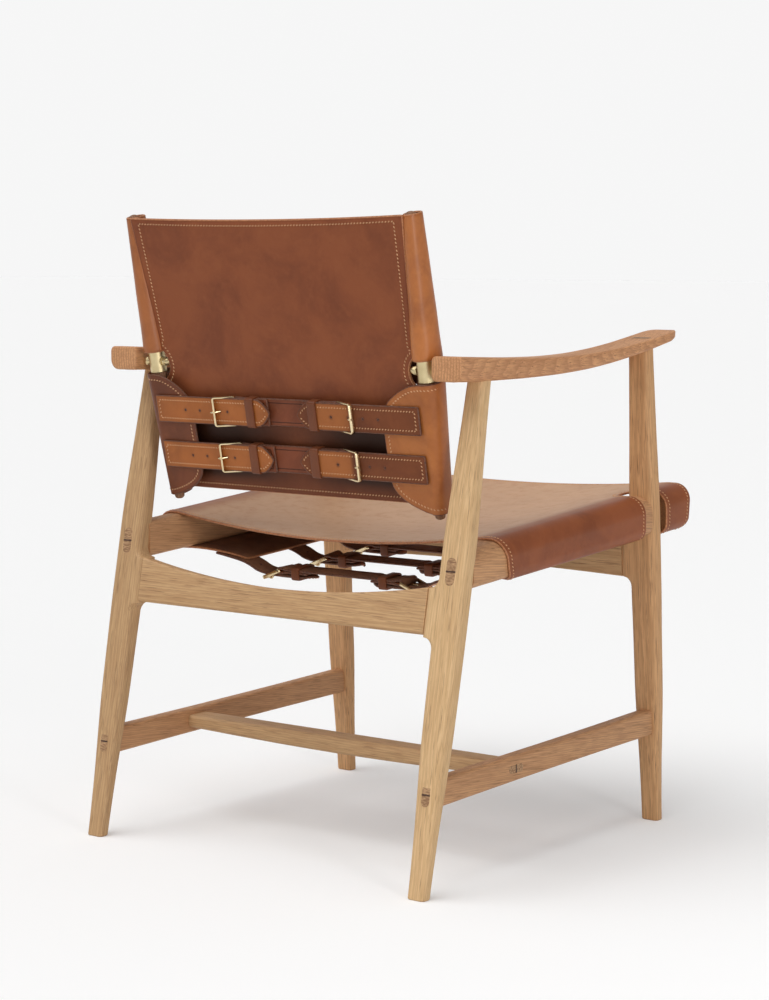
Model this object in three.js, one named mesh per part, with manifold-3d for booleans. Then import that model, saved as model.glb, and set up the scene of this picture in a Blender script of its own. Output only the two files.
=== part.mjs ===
// Sling lounge chair: raked oak frame with wedged through tenons, a leather back that tilts
// on two brass pivots, and a leather seat laced under itself with buckled straps.
// Millimetres, +Z up. The sitter faces -Y and the sitter's left is +X.
import * as THREE from 'three';
import { mergeVertices } from 'three/addons/utils/BufferGeometryUtils.js';
import Module from 'manifold-3d';

const wasm = await Module();
wasm.setup();

// Fits and finish
const gap = 0.3;
const runningGap = 0.1;
const overrun = 6;
const mergeDistance = 1e-5;

// Legs
const legCentreX = 270;
const backFootY = 268;
const frontFootY = -269;
const backRakeShare = -0.196;
const frontRakeShare = 0.064;
const legReferenceHeight = 650;
const legWidth = 40;
const legDepth = 26.5;
const legCornerShare = 0.32;
const legCornerSteps = 2;
const footRounding = 3;
const legHeadLength = 8;
// Rows are height, width and depth, each a share of its reference size.
const backLegShares = [
  [0, 0.66, 0.63], [0.115, 0.73, 0.69], [0.195, 0.83, 0.78], [0.292, 0.94, 0.9], [0.4, 0.98, 0.95],
  [0.5, 1, 1], [0.64, 1, 1], [0.73, 0.93, 0.95], [0.84, 0.79, 0.85], [0.93, 0.7, 0.79], [1, 0.66, 0.76],
];
const frontLegShares = [
  [0, 0.66, 0.63], [0.115, 0.73, 0.69], [0.195, 0.83, 0.78], [0.292, 0.92, 0.9], [0.4, 0.94, 0.95],
  [0.5, 0.98, 1], [0.66, 1, 1], [0.74, 0.95, 0.97], [0.82, 0.88, 0.92], [0.9, 0.83, 0.87], [1, 0.78, 0.81],
];

// Seat side rails
const sideRailDatumInset = 93;
const sideRailDatumY = backFootY - sideRailDatumInset;
const sideRailTop = 418.8;
const sideRailHeight = 48;
const sideRailTopSlopeShare = 0.082;
const sideRailLowSlopeShare = 0.0703;
const sideRailInnerReach = 22;
const sideRailInner = legCentreX - sideRailInnerReach;
const sideRailOuterReach = 20;
const sideRailOuter = legCentreX + sideRailOuterReach;
const sideRailNoseReach = 50;
const sideRailNoseY = frontFootY - sideRailNoseReach;
const sideRailOuterTopRadius = 22;
const sideRailOuterLowRadius = 12;
const sideRailInnerRadius = 8;
const sideRailStations = 5;
const noseRounding = 4;
const lapRecess = 13;

// Back and front rails, their drops measured from the underside of the side rails
const flareRadius = 14;
const flareSteps = 3;
const backRailDrop = 58.8;
const backRailLow = sideRailTop - sideRailHeight - backRailDrop;
const backRailEndHeight = 59;
const backRailEnd = backRailLow + backRailEndHeight;
const backRailMiddleHeight = 37;
const backRailMiddle = backRailLow + backRailMiddleHeight;
const frontRailDrop = 30.8;
const frontRailLow = sideRailTop - sideRailHeight - frontRailDrop;
const frontRailEndHeight = 51;
const frontRailEnd = frontRailLow + frontRailEndHeight;
const frontRailMiddleHeight = 40;
const frontRailMiddle = frontRailLow + frontRailMiddleHeight;
const frontRailArch = 4;
const railDepth = 25;
const railRounding = 3;
const railCurveSteps = 12;
const stubTenonLength = 20;
const stubTenonDepth = 9;
const stubTenonMargin = 8;

// Side and cross stretchers
const stretcherRearInset = 22;
const stretcherRearY = backFootY - stretcherRearInset;
const stretcherRearZ = 126;
const stretcherRiseShare = 0.0265;
const stretcherFrontInset = 7;
const stretcherFrontY = frontFootY + stretcherFrontInset;
const stretcherHeight = 35;
const stretcherThickness = 21;
const stretcherWaistShare = 0.93;
const stretcherRadius = 5;
const crossPlaceShare = 0.6673;
const crossY = stretcherFrontY + (stretcherRearY - stretcherFrontY) * crossPlaceShare;
const crossDepth = 40;
const crossMiddleHeight = 22;
const crossEndShare = 0.8;
const crossRadius = 6;
const stretcherStations = 5;

// Wedged through tenons: the long and short sides of each rounded tenon
const railTenonLong = 34.5;
const railTenonShort = 14;
const stretcherTenonLong = 28.5;
const stretcherTenonShort = 12;
const crossTenonLong = 31;
const crossTenonShort = 10.5;
const armTenonLong = 29;
const armTenonShort = 13;
const blindTenonHeight = 14;
const frontTenonLength = 15;
const kerfWidth = 2.6;
const kerfDepth = 15;
const armKerfDepth = 11;
const wedgeTipShare = 0.4;
const wedgeFit = 0.15;
const tenonRoundSteps = 3;

// Armrests
const armTopLow = 648;
const armRearOverhang = 71;
const armRearY = backFootY + backRakeShare * armTopLow + armRearOverhang;
const armFrontOverhang = 72.6;
const armTipY = frontFootY + frontRakeShare * legReferenceHeight - armFrontOverhang;
const armLength = armRearY - armTipY;
const armInset = 2;
const armCentre = legCentreX - armInset;
const armTopRise = 28;
const armThickness = 31;
const armWidth = 50;
const armEndRounding = 3;
const armTipLength = 34;
const armTipThicknessShare = 0.62;
const armTipSteps = 5;
const armUnderRadiusShare = 0.4;
const armEdgeRadiusShare = 0.2;
const armSlopeProbe = 10;
// Rows are distance from the rear end, rise of the top, thickness and width, as shares.
const armShares = [
  [0, 0.25, 1, 0.92], [0.082, 0.186, 0.975, 0.92], [0.18, 0.107, 0.9, 0.92], [0.297, 0.03, 0.815, 0.91],
  [0.414, 0, 0.735, 0.9], [0.531, 0.046, 0.665, 0.91], [0.648, 0.18, 0.59, 0.94], [0.766, 0.4, 0.51, 0.98],
  [0.855, 0.62, 0.45, 1.02], [0.934, 0.84, 0.4, 1.02], [1, 1.02, 0.36, 0.98],
];

// Back: the pivot, its tilt, and the two rods
const pivotInset = 20;
const pivotY = armRearY - pivotInset;
const pivotDrop = 12;
const pivotZ = armTopLow - pivotDrop;
const reclineAngle = THREE.MathUtils.degToRad(11.3);
const rodInset = 44.8;
const rodCentreX = armCentre - rodInset;
const rodSplayShare = 0.025;
const rodTop = 197;
const rodBottom = -190;
const rodTopRadius = 6.6;
const rodUpperRadius = 9.4;
const rodBottomRadius = 6.5;
const rodDome = 4;
const rodSides = 16;
const rodTaperLength = 150;

// Brass pivots
const tubeBore = rodUpperRadius + gap;
const tubeWall = 1.3;
const tubeRadius = tubeBore + tubeWall;
const rodLowerRadius = tubeRadius;
const tubeHalfLength = 14.2;
const boltRadius = 3;
const boltInArm = 18;
const boltCollarRadius = 5.6;
const collarShoulderShare = 0.72;
const boltSides = 16;
const nutRadius = 6.2;
const nutFlange = 8;
const nutDome = 8;
const nutWaistShare = 0.82;
const nutBoreDepth = 7;

// Leather of the back
const leather = 3.2;
const panelThickness = 5;
const panelTopInset = 4;
const panelTop = rodTop - panelTopInset;
const panelTopSag = 4;
const panelBottomInset = 18;
const panelBottom = rodBottom + panelBottomInset;
const panelRearTop = 12;
const panelRearBottom = -3.5;
const panelSteps = 10;
const sleeveRoom = 1;
const sleeveMouth = tubeHalfLength + sleeveRoom;
const sleeveTopSlack = 1;
const sleeveTopWide = rodTopRadius + leather + sleeveTopSlack;
const sleeveTopOval = 3.8;
const sleeveTopDeep = sleeveTopWide + sleeveTopOval;
const sleeveTopShift = 4;
const sleeveMouthSlack = 4.4;
const sleeveMouthWide = rodUpperRadius + leather + sleeveMouthSlack;
const sleeveMouthOval = 5.5;
const sleeveMouthDeep = sleeveMouthWide + sleeveMouthOval;
const sleeveMouthShift = 5.5;
const sleeveSides = 18;
const sleeveStations = 4;
const wrapRoom = 1.8;
const wrapTop = -tubeHalfLength - wrapRoom;
const wrapBottomInset = 9;
const wrapBottom = rodBottom + wrapBottomInset;
const wrapTopSlack = 2;
const wrapTopRadius = rodLowerRadius + leather + wrapTopSlack;
const wrapBottomSlack = 1.3;
const wrapBottomRadius = rodBottomRadius + leather + wrapBottomSlack;
const wrapTopHang = 14.8;
const wrapBottomHang = 13;
const wrapSteps = 14;
const wrapStations = 4;
const wingInnerShare = 0.7125;
const wingInner = rodCentreX * wingInnerShare;
const notchRadius = 28;
const notchDrop = 3;
const notchSides = 24;
// The rear wing's outline, as shares of its width from the rod and of its height from the top.
const wingShares = [
  [0.12, 0.0], [0.3, 0.012], [0.52, 0.05], [0.74, 0.105], [0.9, 0.165], [0.98, 0.23], [1, 0.3],
  [1, 0.74], [0.98, 0.79], [0.91, 0.84], [0.78, 0.89], [0.58, 0.935], [0.32, 0.975], [0.12, 0.995],
];

// Straps and buckles
const strapThickness = 3.4;
const backStrapWidth = 34;
const seatStrapWidth = 30;
// Where each row lies down the wings of the back, and along the seat from its rear edge.
const backRowShares = [0.2667, 0.6455];
const seatRowShares = [0.1104, 0.3356, 0.5495];
// Where a row's parts lie out from the middle, as shares of the rods' and of the legs' distance.
const backStrapShares = { buckle: 0.511, keeper: 0.224, tip: 0.1075, fold: 0.1345, sewn: 0.972 };
const seatStrapShares = { buckle: 0.4852, keeper: 0.2741, tip: 0.1778, fold: 0.2, sewn: 0.7926 };
const seatWingShare = 0.6037;
const seatWingEdge = legCentreX * seatWingShare;
const seatRowDrop = 29;
const tipLength = 13;
const tipWidthShare = 0.3;
const wireRadius = 1.6;
const wireSides = 6;
const buckleLength = 28;
const buckleCorner = 2.2;
const buckleCornerSteps = 1;
const buckleSideRoom = 0.6;
const eyeWall = 3;
const eyeSides = 8;
const prongRadius = 1.2;
const prongSlot = 3.4;
const prongReach = 5;
const keeperThickness = 2.4;
const keeperLength = 12;
const keeperRoundShare = 0.6;

// Leather of the seat
const seatRearInset = 149;
const seatRearY = backFootY - seatRearInset;
const seatNoseReach = 6;
const seatFrontY = sideRailNoseY - seatNoseReach;
const seatRows = 10;
const seatSagRear = 20;
const seatSagFront = 13;
const seatSagMiddle = 7;
const seatHalfColumns = 6;
const seatArcSteps = 4;
const seatRestX = sideRailInner + sideRailInnerRadius;
const wingRootInset = 7;
const wingRootX = sideRailInner + wingRootInset;
const wingDrop = 11;
const wingRearSlant = 38;
const noseSlant = 30;
const legHoleInset = 7.7;
const legHoleY = frontFootY + frontRakeShare * sideRailTop + legHoleInset;
const legHoleWidth = 55;
const legHoleReach = 20;
const legHoleInner = sideRailInner - legHoleReach;
const wingFrontInset = 69.5;
const wingFrontY = legHoleY + wingFrontInset;
const wingEndInset = 36.5;
const wingEndY = legHoleY + wingEndInset;
const legHoleSteps = 10;

const oak = [0xc9a06c, 0.62, 0];
const oakEnd = [0xa9825a, 0.7, 0];
const hide = [0x8a4b2c, 0.5, 0];
const strapHide = [0xa5653a, 0.5, 0];
const brass = [0xb59a5f, 0.35, 1];

const point = (x, y, z) => new THREE.Vector3(x, y, z);
const mix = (a, b, share) => a + (b - a) * share;
const move = (x, y, z) => new THREE.Matrix4().makeTranslation(x, y, z);

// A smooth value from rows of [position, value, ...], without overshoot between rows.
function smoothAt(rows, position, column) {
  const last = rows.length - 1;
  const at = THREE.MathUtils.clamp(position, rows[0][0], rows[last][0]);
  const slopes = rows.slice(1).map((row, i) => (row[column] - rows[i][column]) / (row[0] - rows[i][0]));
  const bend = (i) => {
    if (i === 0 || i === last || slopes[i - 1] * slopes[i] <= 0) return 0;
    return 2 / (1 / slopes[i - 1] + 1 / slopes[i]);
  };
  const i = Math.min(last - 1, rows.findIndex((row, k) => k === last || at <= rows[k + 1][0]));
  const span = rows[i + 1][0] - rows[i][0];
  const t = (at - rows[i][0]) / span;
  const rise = t * t * (3 - 2 * t);
  return mix(rows[i][column], rows[i + 1][column], rise)
    + span * (t * (1 - t) * (1 - t) * bend(i) - t * t * (1 - t) * bend(i + 1));
}

// A geometry from points and triangles, turned to face outwards.
function closedGeometry(points, triangles) {
  const signed = triangles.reduce((sum, [a, b, c]) => {
    const normal = new THREE.Vector3().crossVectors(points[b], points[c]);
    return sum + points[a].dot(normal);
  }, 0);
  const faced = signed < 0 ? triangles.map(([a, b, c]) => [a, c, b]) : triangles;
  const geometry = new THREE.BufferGeometry();
  geometry.setAttribute('position', new THREE.Float32BufferAttribute(points.flatMap((p) => p.toArray()), 3));
  geometry.setIndex(faced.flat());
  return geometry;
}

function quadTriangles(a, b, c, d) {
  return [[a, b, c], [a, c, d]];
}

// A solid through rings of equal length, its two ends closed with fans.
function loft(rings) {
  const count = rings[0].length;
  const points = rings.flat();
  const triangles = [];
  for (let i = 0; i + 1 < rings.length; i += 1) {
    for (let j = 0; j < count; j += 1) {
      const next = (j + 1) % count;
      triangles.push(...quadTriangles(
        i * count + j, i * count + next, (i + 1) * count + next, (i + 1) * count + j,
      ));
    }
  }
  [0, rings.length - 1].forEach((end) => {
    const centre = points.length;
    points.push(rings[end].reduce((sum, p) => sum.add(p), point(0, 0, 0)).divideScalar(count));
    for (let j = 0; j < count; j += 1) {
      const pair = [end * count + j, end * count + ((j + 1) % count)];
      triangles.push(end === 0 ? [pair[1], pair[0], centre] : [pair[0], pair[1], centre]);
    }
  });
  return closedGeometry(points, triangles);
}

// A sheet of leather from the grid of its outer side and the grid of its inner side.
// A looped sheet closes on itself across each row.
function sheet(outer, inner, looped = false) {
  const rows = outer.length;
  const columns = outer[0].length;
  const points = [...outer.flat(), ...inner.flat()];
  const id = (side, i, j) => side * rows * columns + i * columns + (j % columns);
  const triangles = [];
  const across = looped ? columns : columns - 1;
  for (let i = 0; i + 1 < rows; i += 1) {
    for (let j = 0; j < across; j += 1) {
      triangles.push(...quadTriangles(id(0, i, j), id(0, i, j + 1), id(0, i + 1, j + 1), id(0, i + 1, j)));
      triangles.push(...quadTriangles(id(1, i, j), id(1, i + 1, j), id(1, i + 1, j + 1), id(1, i, j + 1)));
    }
    if (!looped) {
      const edge = columns - 1;
      triangles.push(...quadTriangles(id(0, i, 0), id(0, i + 1, 0), id(1, i + 1, 0), id(1, i, 0)));
      triangles.push(...quadTriangles(id(0, i, edge), id(1, i, edge), id(1, i + 1, edge), id(0, i + 1, edge)));
    }
  }
  for (let j = 0; j < across; j += 1) {
    const end = rows - 1;
    triangles.push(...quadTriangles(id(0, 0, j), id(1, 0, j), id(1, 0, j + 1), id(0, 0, j + 1)));
    triangles.push(...quadTriangles(id(0, end, j), id(0, end, j + 1), id(1, end, j + 1), id(1, end, j)));
  }
  return closedGeometry(points, triangles);
}

// The corners of a rectangle rounded by four radii, from the low left corner round.
function roundedOutline(x0, x1, y0, y1, radii, steps) {
  return radii.flatMap((radius, corner) => {
    const cx = corner === 1 || corner === 2 ? x1 - radius : x0 + radius;
    const cy = corner >= 2 ? y1 - radius : y0 + radius;
    return Array.from({ length: steps + 1 }, (_, k) => {
      const angle = Math.PI + (corner + k / steps) * Math.PI / 2;
      return new THREE.Vector2(cx + radius * Math.cos(angle), cy + radius * Math.sin(angle));
    });
  });
}

function prism(outline, depth, holes = []) {
  const shape = new THREE.Shape(outline);
  holes.forEach((hole) => shape.holes.push(new THREE.Path(hole)));
  const geometry = new THREE.ExtrudeGeometry(shape, { depth, bevelEnabled: false, curveSegments: 1 });
  return geometry.translate(0, 0, -depth / 2);
}

function box(x0, x1, y0, y1, z0, z1) {
  return new THREE.BoxGeometry(x1 - x0, y1 - y0, z1 - z0)
    .translate((x0 + x1) / 2, (y0 + y1) / 2, (z0 + z1) / 2);
}

function circle(x, y, radius, sides) {
  return Array.from({ length: sides }, (_, k) => {
    const angle = (2 * Math.PI * k) / sides;
    return new THREE.Vector2(x + radius * Math.cos(angle), y + radius * Math.sin(angle));
  });
}

function manifoldOf(geometry) {
  const bare = geometry.clone();
  bare.deleteAttribute('normal');
  bare.deleteAttribute('uv');
  const merged = mergeVertices(bare, mergeDistance);
  const mesh = new wasm.Mesh({
    numProp: 3,
    vertProperties: new Float32Array(merged.attributes.position.array),
    triVerts: new Uint32Array(merged.index.array),
  });
  return new wasm.Manifold(mesh);
}

function geometryOf(manifold) {
  const mesh = manifold.getMesh();
  const geometry = new THREE.BufferGeometry();
  geometry.setAttribute('position', new THREE.BufferAttribute(new Float32Array(mesh.vertProperties), 3));
  geometry.setIndex(new THREE.BufferAttribute(new Uint32Array(mesh.triVerts), 1));
  return geometry;
}

const join = (...parts) => geometryOf(parts.map(manifoldOf).reduce((sum, next) => sum.add(next)));
const cut = (base, ...cutters) => geometryOf(
  cutters.map(manifoldOf).reduce((rest, next) => rest.subtract(next), manifoldOf(base)),
);
const overlap = (a, b) => geometryOf(manifoldOf(a).intersect(manifoldOf(b)));

// The same solid on the sitter's right, its faces kept facing out.
function mirrored(geometry) {
  const flipped = geometry.clone();
  flipped.applyMatrix4(new THREE.Matrix4().makeScale(-1, 1, 1));
  const count = flipped.attributes.position.count;
  const order = flipped.index ? Array.from(flipped.index.array) : Array.from({ length: count }, (_, i) => i);
  for (let i = 0; i < order.length; i += 3) [order[i + 1], order[i + 2]] = [order[i + 2], order[i + 1]];
  flipped.setIndex(order);
  return flipped;
}

// Round wire along a path; a closed path makes a ring.
function wire(path, radius, closed, side = point(0, 0, 1)) {
  const count = path.length;
  const rings = path.map((p, i) => {
    const before = path[closed ? (i + count - 1) % count : Math.max(0, i - 1)];
    const after = path[closed ? (i + 1) % count : Math.min(count - 1, i + 1)];
    const along = after.clone().sub(before).normalize();
    const u = new THREE.Vector3().crossVectors(side, along).normalize();
    const w = new THREE.Vector3().crossVectors(along, u);
    return Array.from({ length: wireSides }, (_, k) => {
      const angle = (2 * Math.PI * (k + 1 / 2)) / wireSides;
      return p.clone().addScaledVector(u, radius * Math.cos(angle)).addScaledVector(w, radius * Math.sin(angle));
    });
  });
  if (!closed) return loft(rings);
  const points = rings.flat();
  const triangles = rings.flatMap((_, i) => Array.from({ length: wireSides }, (__, k) => {
    const next = (i + 1) % count;
    const step = (k + 1) % wireSides;
    return quadTriangles(i * wireSides + k, i * wireSides + step, next * wireSides + step, next * wireSides + k);
  }).flat());
  return closedGeometry(points, triangles);
}

// A flat strip along a path in the x-z plane, its half width given at each point along y.
function strip(path, halfWidths, thickness) {
  const rings = path.map((p, i) => {
    const before = path[Math.max(0, i - 1)];
    const after = path[Math.min(path.length - 1, i + 1)];
    const normal = new THREE.Vector2(-(after.y - before.y), after.x - before.x).normalize();
    const half = halfWidths[i];
    return [[-half, 0], [half, 0], [half, thickness], [-half, thickness]].map(
      ([y, n]) => point(p.x + normal.x * n, y, p.y + normal.y * n),
    );
  });
  return loft(rings);
}

// Wedged tenons, in a frame with the tenon along +Z and its long side along X
function tenonOutline(long, short, room) {
  const half = long / 2 + room;
  const round = short / 2 + room;
  return roundedOutline(-half, half, -round, round, Array(4).fill(round), tenonRoundSteps);
}

function tenonPrism(long, short, from, to, room = 0) {
  return prism(tenonOutline(long, short, room), to - from).translate(0, 0, (from + to) / 2);
}

function kerfCutter(long, short, top, depth, lengthwise) {
  const reach = long / 2 + overrun;
  const half = kerfWidth / 2;
  return lengthwise
    ? box(-reach, reach, -half, half, top - depth, top + overrun)
    : box(-half, half, -short, short, top - depth, top + overrun);
}

function wedgeSolid(long, short, top, depth, lengthwise) {
  const run = (lengthwise ? long - short / 2 : short) / 2 - wedgeFit;
  const head = kerfWidth / 2 - wedgeFit;
  const tip = head * wedgeTipShare;
  const ring = (half, z) => (lengthwise
    ? [point(-run, -half, z), point(run, -half, z), point(run, half, z), point(-run, half, z)]
    : [point(-half, -run, z), point(half, -run, z), point(half, run, z), point(-half, run, z)]);
  return loft([ring(tip, top - depth + gap), ring(head, top + overrun)]);
}

// A frame with its Z axis along one direction and its X axis near another.
function frameAlong(origin, z, x) {
  const zAxis = z.clone().normalize();
  const xAxis = x.clone().addScaledVector(zAxis, -x.dot(zAxis)).normalize();
  const yAxis = new THREE.Vector3().crossVectors(zAxis, xAxis);
  return new THREE.Matrix4().makeBasis(xAxis, yAxis, zAxis).setPosition(origin);
}

// Everything on the far side of a plane, as a cutter.
function beyond(origin, normal, size) {
  const block = box(-size, size, -size, size, 0, size);
  return block.applyMatrix4(frameAlong(origin, normal, Math.abs(normal.x) > 1 / 2 ? point(0, 1, 0) : point(1, 0, 0)));
}

const legSpecs = {
  back: {
    footY: backFootY, rake: backRakeShare, shares: backLegShares, low: backRailLow, high: backRailEnd,
  },
  front: {
    footY: frontFootY, rake: frontRakeShare, shares: frontLegShares, low: frontRailLow, high: frontRailEnd,
  },
};
const legY = (spec, z) => spec.footY + spec.rake * z;
const legHalfDepth = (spec, z) => smoothAt(spec.shares, z / legReferenceHeight, 2) * legDepth / 2;
const legHalfWidth = (spec, z) => smoothAt(spec.shares, z / legReferenceHeight, 1) * legWidth / 2;

// How far the leg's inner side swells out to meet its rail at a height.
function flareAt(spec, z) {
  const away = z < spec.low ? spec.low - z : Math.max(0, z - spec.high);
  if (away >= flareRadius) return 0;
  const rise = flareRadius - away;
  return flareRadius - Math.sqrt(flareRadius * flareRadius - rise * rise);
}

// A leg up to a height, every side moved out by the given room.
function legBody(spec, top, room = 0) {
  const heights = new Set([0, footRounding, top]);
  spec.shares.forEach(([share]) => heights.add(share * legReferenceHeight));
  for (let k = 0; k <= flareSteps; k += 1) {
    const away = flareRadius * (1 - Math.sin((k / flareSteps) * Math.PI / 2));
    heights.add(spec.low - away);
    heights.add(spec.high + away);
  }
  const levels = [...heights].filter((z) => z >= 0 && z <= top).sort((a, b) => a - b);
  const clear = levels.filter((z, i) => i === 0 || z - levels[i - 1] > footRounding / 2);
  return loft(clear.map((z) => {
    const inset = z === 0 ? footRounding / 2 : 0;
    const wide = legHalfWidth(spec, z) - inset + room;
    const deep = legHalfDepth(spec, z) - inset + room;
    const radius = deep * 2 * legCornerShare;
    const outline = roundedOutline(
      legCentreX - wide - flareAt(spec, z), legCentreX + wide, -deep, deep, Array(4).fill(radius), legCornerSteps,
    );
    return outline.map((p) => point(p.x, legY(spec, z) + p.y, z));
  }));
}

// Armrest
const armTop = (y) => armTopLow + armTopRise * smoothAt(armShares, (armRearY - y) / armLength, 1);
const armDepth = (y) => armThickness * smoothAt(armShares, (armRearY - y) / armLength, 2);
const armHalf = (y) => armWidth / 2 * smoothAt(armShares, (armRearY - y) / armLength, 3);
const armSlope = (y) => (armTop(y - armSlopeProbe) - armTop(y + armSlopeProbe)) / (2 * armSlopeProbe);

function armRing(y, widthShare, thicknessShare, inset) {
  const thick = armDepth(y) * thicknessShare;
  const middle = armTop(y) - armDepth(y) / 2;
  const half = armHalf(y) * widthShare - inset;
  const low = middle - thick / 2 + inset;
  const high = middle + thick / 2 - inset;
  const edge = Math.min(thick * armEdgeRadiusShare, half / 2);
  const under = Math.min(thick * armUnderRadiusShare, half);
  const outline = roundedOutline(armCentre - half, armCentre + half, low, high, [edge, under, edge, edge], 3);
  return outline.map((p) => point(p.x, y, p.y));
}

function armBody() {
  const rings = [armRing(armRearY, 1, 1, armEndRounding / 2), armRing(armRearY - armEndRounding, 1, 1, 0)];
  armShares.slice(1).forEach(([share]) => {
    const y = armRearY - share * armLength;
    if (y > armTipY + armTipLength) rings.push(armRing(y, 1, 1, 0));
  });
  for (let k = 0; k < armTipSteps; k += 1) {
    const angle = (k / armTipSteps) * Math.PI / 2;
    const y = armTipY + armTipLength * (1 - Math.sin(angle));
    rings.push(armRing(y, Math.cos(angle), mix(armTipThicknessShare, 1, Math.cos(angle)), 0));
  }
  return loft(rings);
}

const armSolid = armBody();
const frontLegTopZ = armTop(legY(legSpecs.front, legReferenceHeight));
const backLegTopZ = armTop(legY(legSpecs.back, armTopLow));

// The frames of the through tenons, each at its place on the face it shows on
const backLegUp = point(0, backRakeShare, 1).normalize();
const backLegBehind = point(0, 1, -backRakeShare).normalize();
function behindLeg(z) {
  return point(legCentreX, legY(legSpecs.back, z) + legHalfDepth(legSpecs.back, z), z);
}
const sideRailMiddle = (y) => (sideRailTopAt(y) + sideRailLowAt(y)) / 2;
function sideRailTopAt(y) {
  return sideRailTop + sideRailTopSlopeShare * (sideRailDatumY - y);
}
function sideRailLowAt(y) {
  return sideRailTop - sideRailHeight + sideRailLowSlopeShare * (sideRailDatumY - y);
}
const stretcherZ = (y) => stretcherRearZ + stretcherRiseShare * (stretcherRearY - y);
const railTenonFace = behindLeg(sideRailMiddle(pivotY));
const railTenonFrame = frameAlong(railTenonFace, point(0, 1, -sideRailTopSlopeShare), point(0, 0, 1));
const stretcherTenonFace = behindLeg(stretcherRearZ);
const stretcherTenonFrame = frameAlong(stretcherTenonFace, point(0, 1, -stretcherRiseShare), point(0, 0, 1));
const crossTenonFace = point(legCentreX + stretcherThickness / 2, crossY, stretcherZ(crossY));
const crossTenonFrame = frameAlong(crossTenonFace, point(1, 0, 0), point(0, 1, 0));
const armTenonY = legY(legSpecs.front, frontLegTopZ);
const armTenonFace = point(legCentreX, armTenonY, frontLegTopZ);
const armTenonFrame = frameAlong(armTenonFace, point(0, frontRakeShare, 1), point(1, 0, 0));
const armTopNormal = point(0, armSlope(armTenonY), 1).normalize();

function placed(geometry, frame) {
  return geometry.clone().applyMatrix4(frame);
}

// A through tenon with its kerf, flush with the face it shows on.
function throughTenon(long, short, root, frame, face, normal, depth, lengthwise) {
  const whole = cut(
    tenonPrism(long, short, -root, overrun),
    kerfCutter(long, short, 0, depth, lengthwise),
  );
  return cut(placed(whole, frame), beyond(face, normal, legCentreX));
}

function flushWedge(long, short, frame, face, normal, depth, lengthwise) {
  return cut(placed(wedgeSolid(long, short, 0, depth, lengthwise), frame), beyond(face, normal, legCentreX));
}

function mortise(long, short, root, frame) {
  return placed(tenonPrism(long, short, -root, overrun * 2, gap), frame);
}

// Seat side rail, every side moved out by the given room.
function sideRailRing(y, inset, room) {
  const inner = sideRailInner + inset - room;
  const outer = sideRailOuter - inset + room;
  const low = sideRailLowAt(y) + inset - room;
  const high = sideRailTopAt(y) - inset + room;
  const radii = [sideRailInnerRadius, sideRailOuterLowRadius, sideRailOuterTopRadius, sideRailInnerRadius];
  return roundedOutline(inner, outer, low, high, radii.map((r) => r - inset + room), seatArcSteps)
    .map((p) => point(p.x, y, p.y));
}

function sideRailBody(rearY, room = 0) {
  const rings = [];
  for (let k = 0; k <= sideRailStations; k += 1) {
    rings.push(sideRailRing(mix(rearY, sideRailNoseY + noseRounding, k / sideRailStations), 0, room));
  }
  rings.push(sideRailRing(sideRailNoseY + noseRounding / 4, noseRounding / 4, room));
  rings.push(sideRailRing(sideRailNoseY, noseRounding, room));
  return loft(rings);
}

// A block about the front leg between two places across, for the lap of the leg and the rail.
function lapHalf(fromX, toX) {
  return box(fromX, toX, frontFootY - legWidth, frontFootY + legWidth * 3, frontRailEnd, armTopLow);
}

// The dark housing in the rail just ahead of the front leg.
function lapHousing() {
  const z = sideRailMiddle(legY(legSpecs.front, frontRailEnd));
  const y = legY(legSpecs.front, z);
  return box(
    legCentreX - gap / 2, legCentreX + legWidth, y - legHalfDepth(legSpecs.front, z) - lapRecess, y,
    frontRailEnd, armTopLow,
  );
}

function seatSideRail() {
  const z = sideRailMiddle(sideRailDatumY);
  const shoulder = behindLeg(z).sub(point(0, legHalfDepth(legSpecs.back, z) * 2 + gap, 0));
  const outer = lapHalf(legCentreX - gap / 2, legCentreX + legWidth);
  const frontLegHalf = overlap(legBody(legSpecs.front, armTopLow, gap), outer);
  const shouldered = cut(
    sideRailBody(shoulder.y + legDepth), beyond(shoulder, backLegBehind, legCentreX), frontLegHalf,
    lapHousing(),
  );
  const tenon = throughTenon(
    railTenonLong, railTenonShort, legDepth + overrun, railTenonFrame, railTenonFace, backLegBehind,
    kerfDepth, false,
  );
  return join(shouldered, tenon);
}

// Side stretcher: a rounded bar, slightly waisted between the legs.
function stretcherBody(fromY, toY) {
  const rings = Array.from({ length: stretcherStations }, (_, k) => {
    const share = k / (stretcherStations - 1);
    const y = mix(fromY, toY, share);
    const half = stretcherHeight / 2 * mix(1, stretcherWaistShare, Math.sin(share * Math.PI));
    const z = stretcherZ(y);
    const wide = stretcherThickness / 2;
    return roundedOutline(
      legCentreX - wide, legCentreX + wide, z - half, z + half, Array(4).fill(stretcherRadius), 2,
    ).map((p) => point(p.x, y, p.y));
  });
  return loft(rings);
}

function frontStretcherTenon(room) {
  const frame = frameAlong(
    point(legCentreX, legY(legSpecs.front, stretcherZ(stretcherFrontY)), stretcherZ(stretcherFrontY)),
    point(0, -1, 0), point(0, 0, 1),
  );
  const reach = frontTenonLength - legHalfDepth(legSpecs.front, stretcherZ(stretcherFrontY));
  return placed(tenonPrism(stretcherTenonLong, stretcherTenonShort, -overrun * 3, reach + room * 2, room), frame);
}

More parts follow.
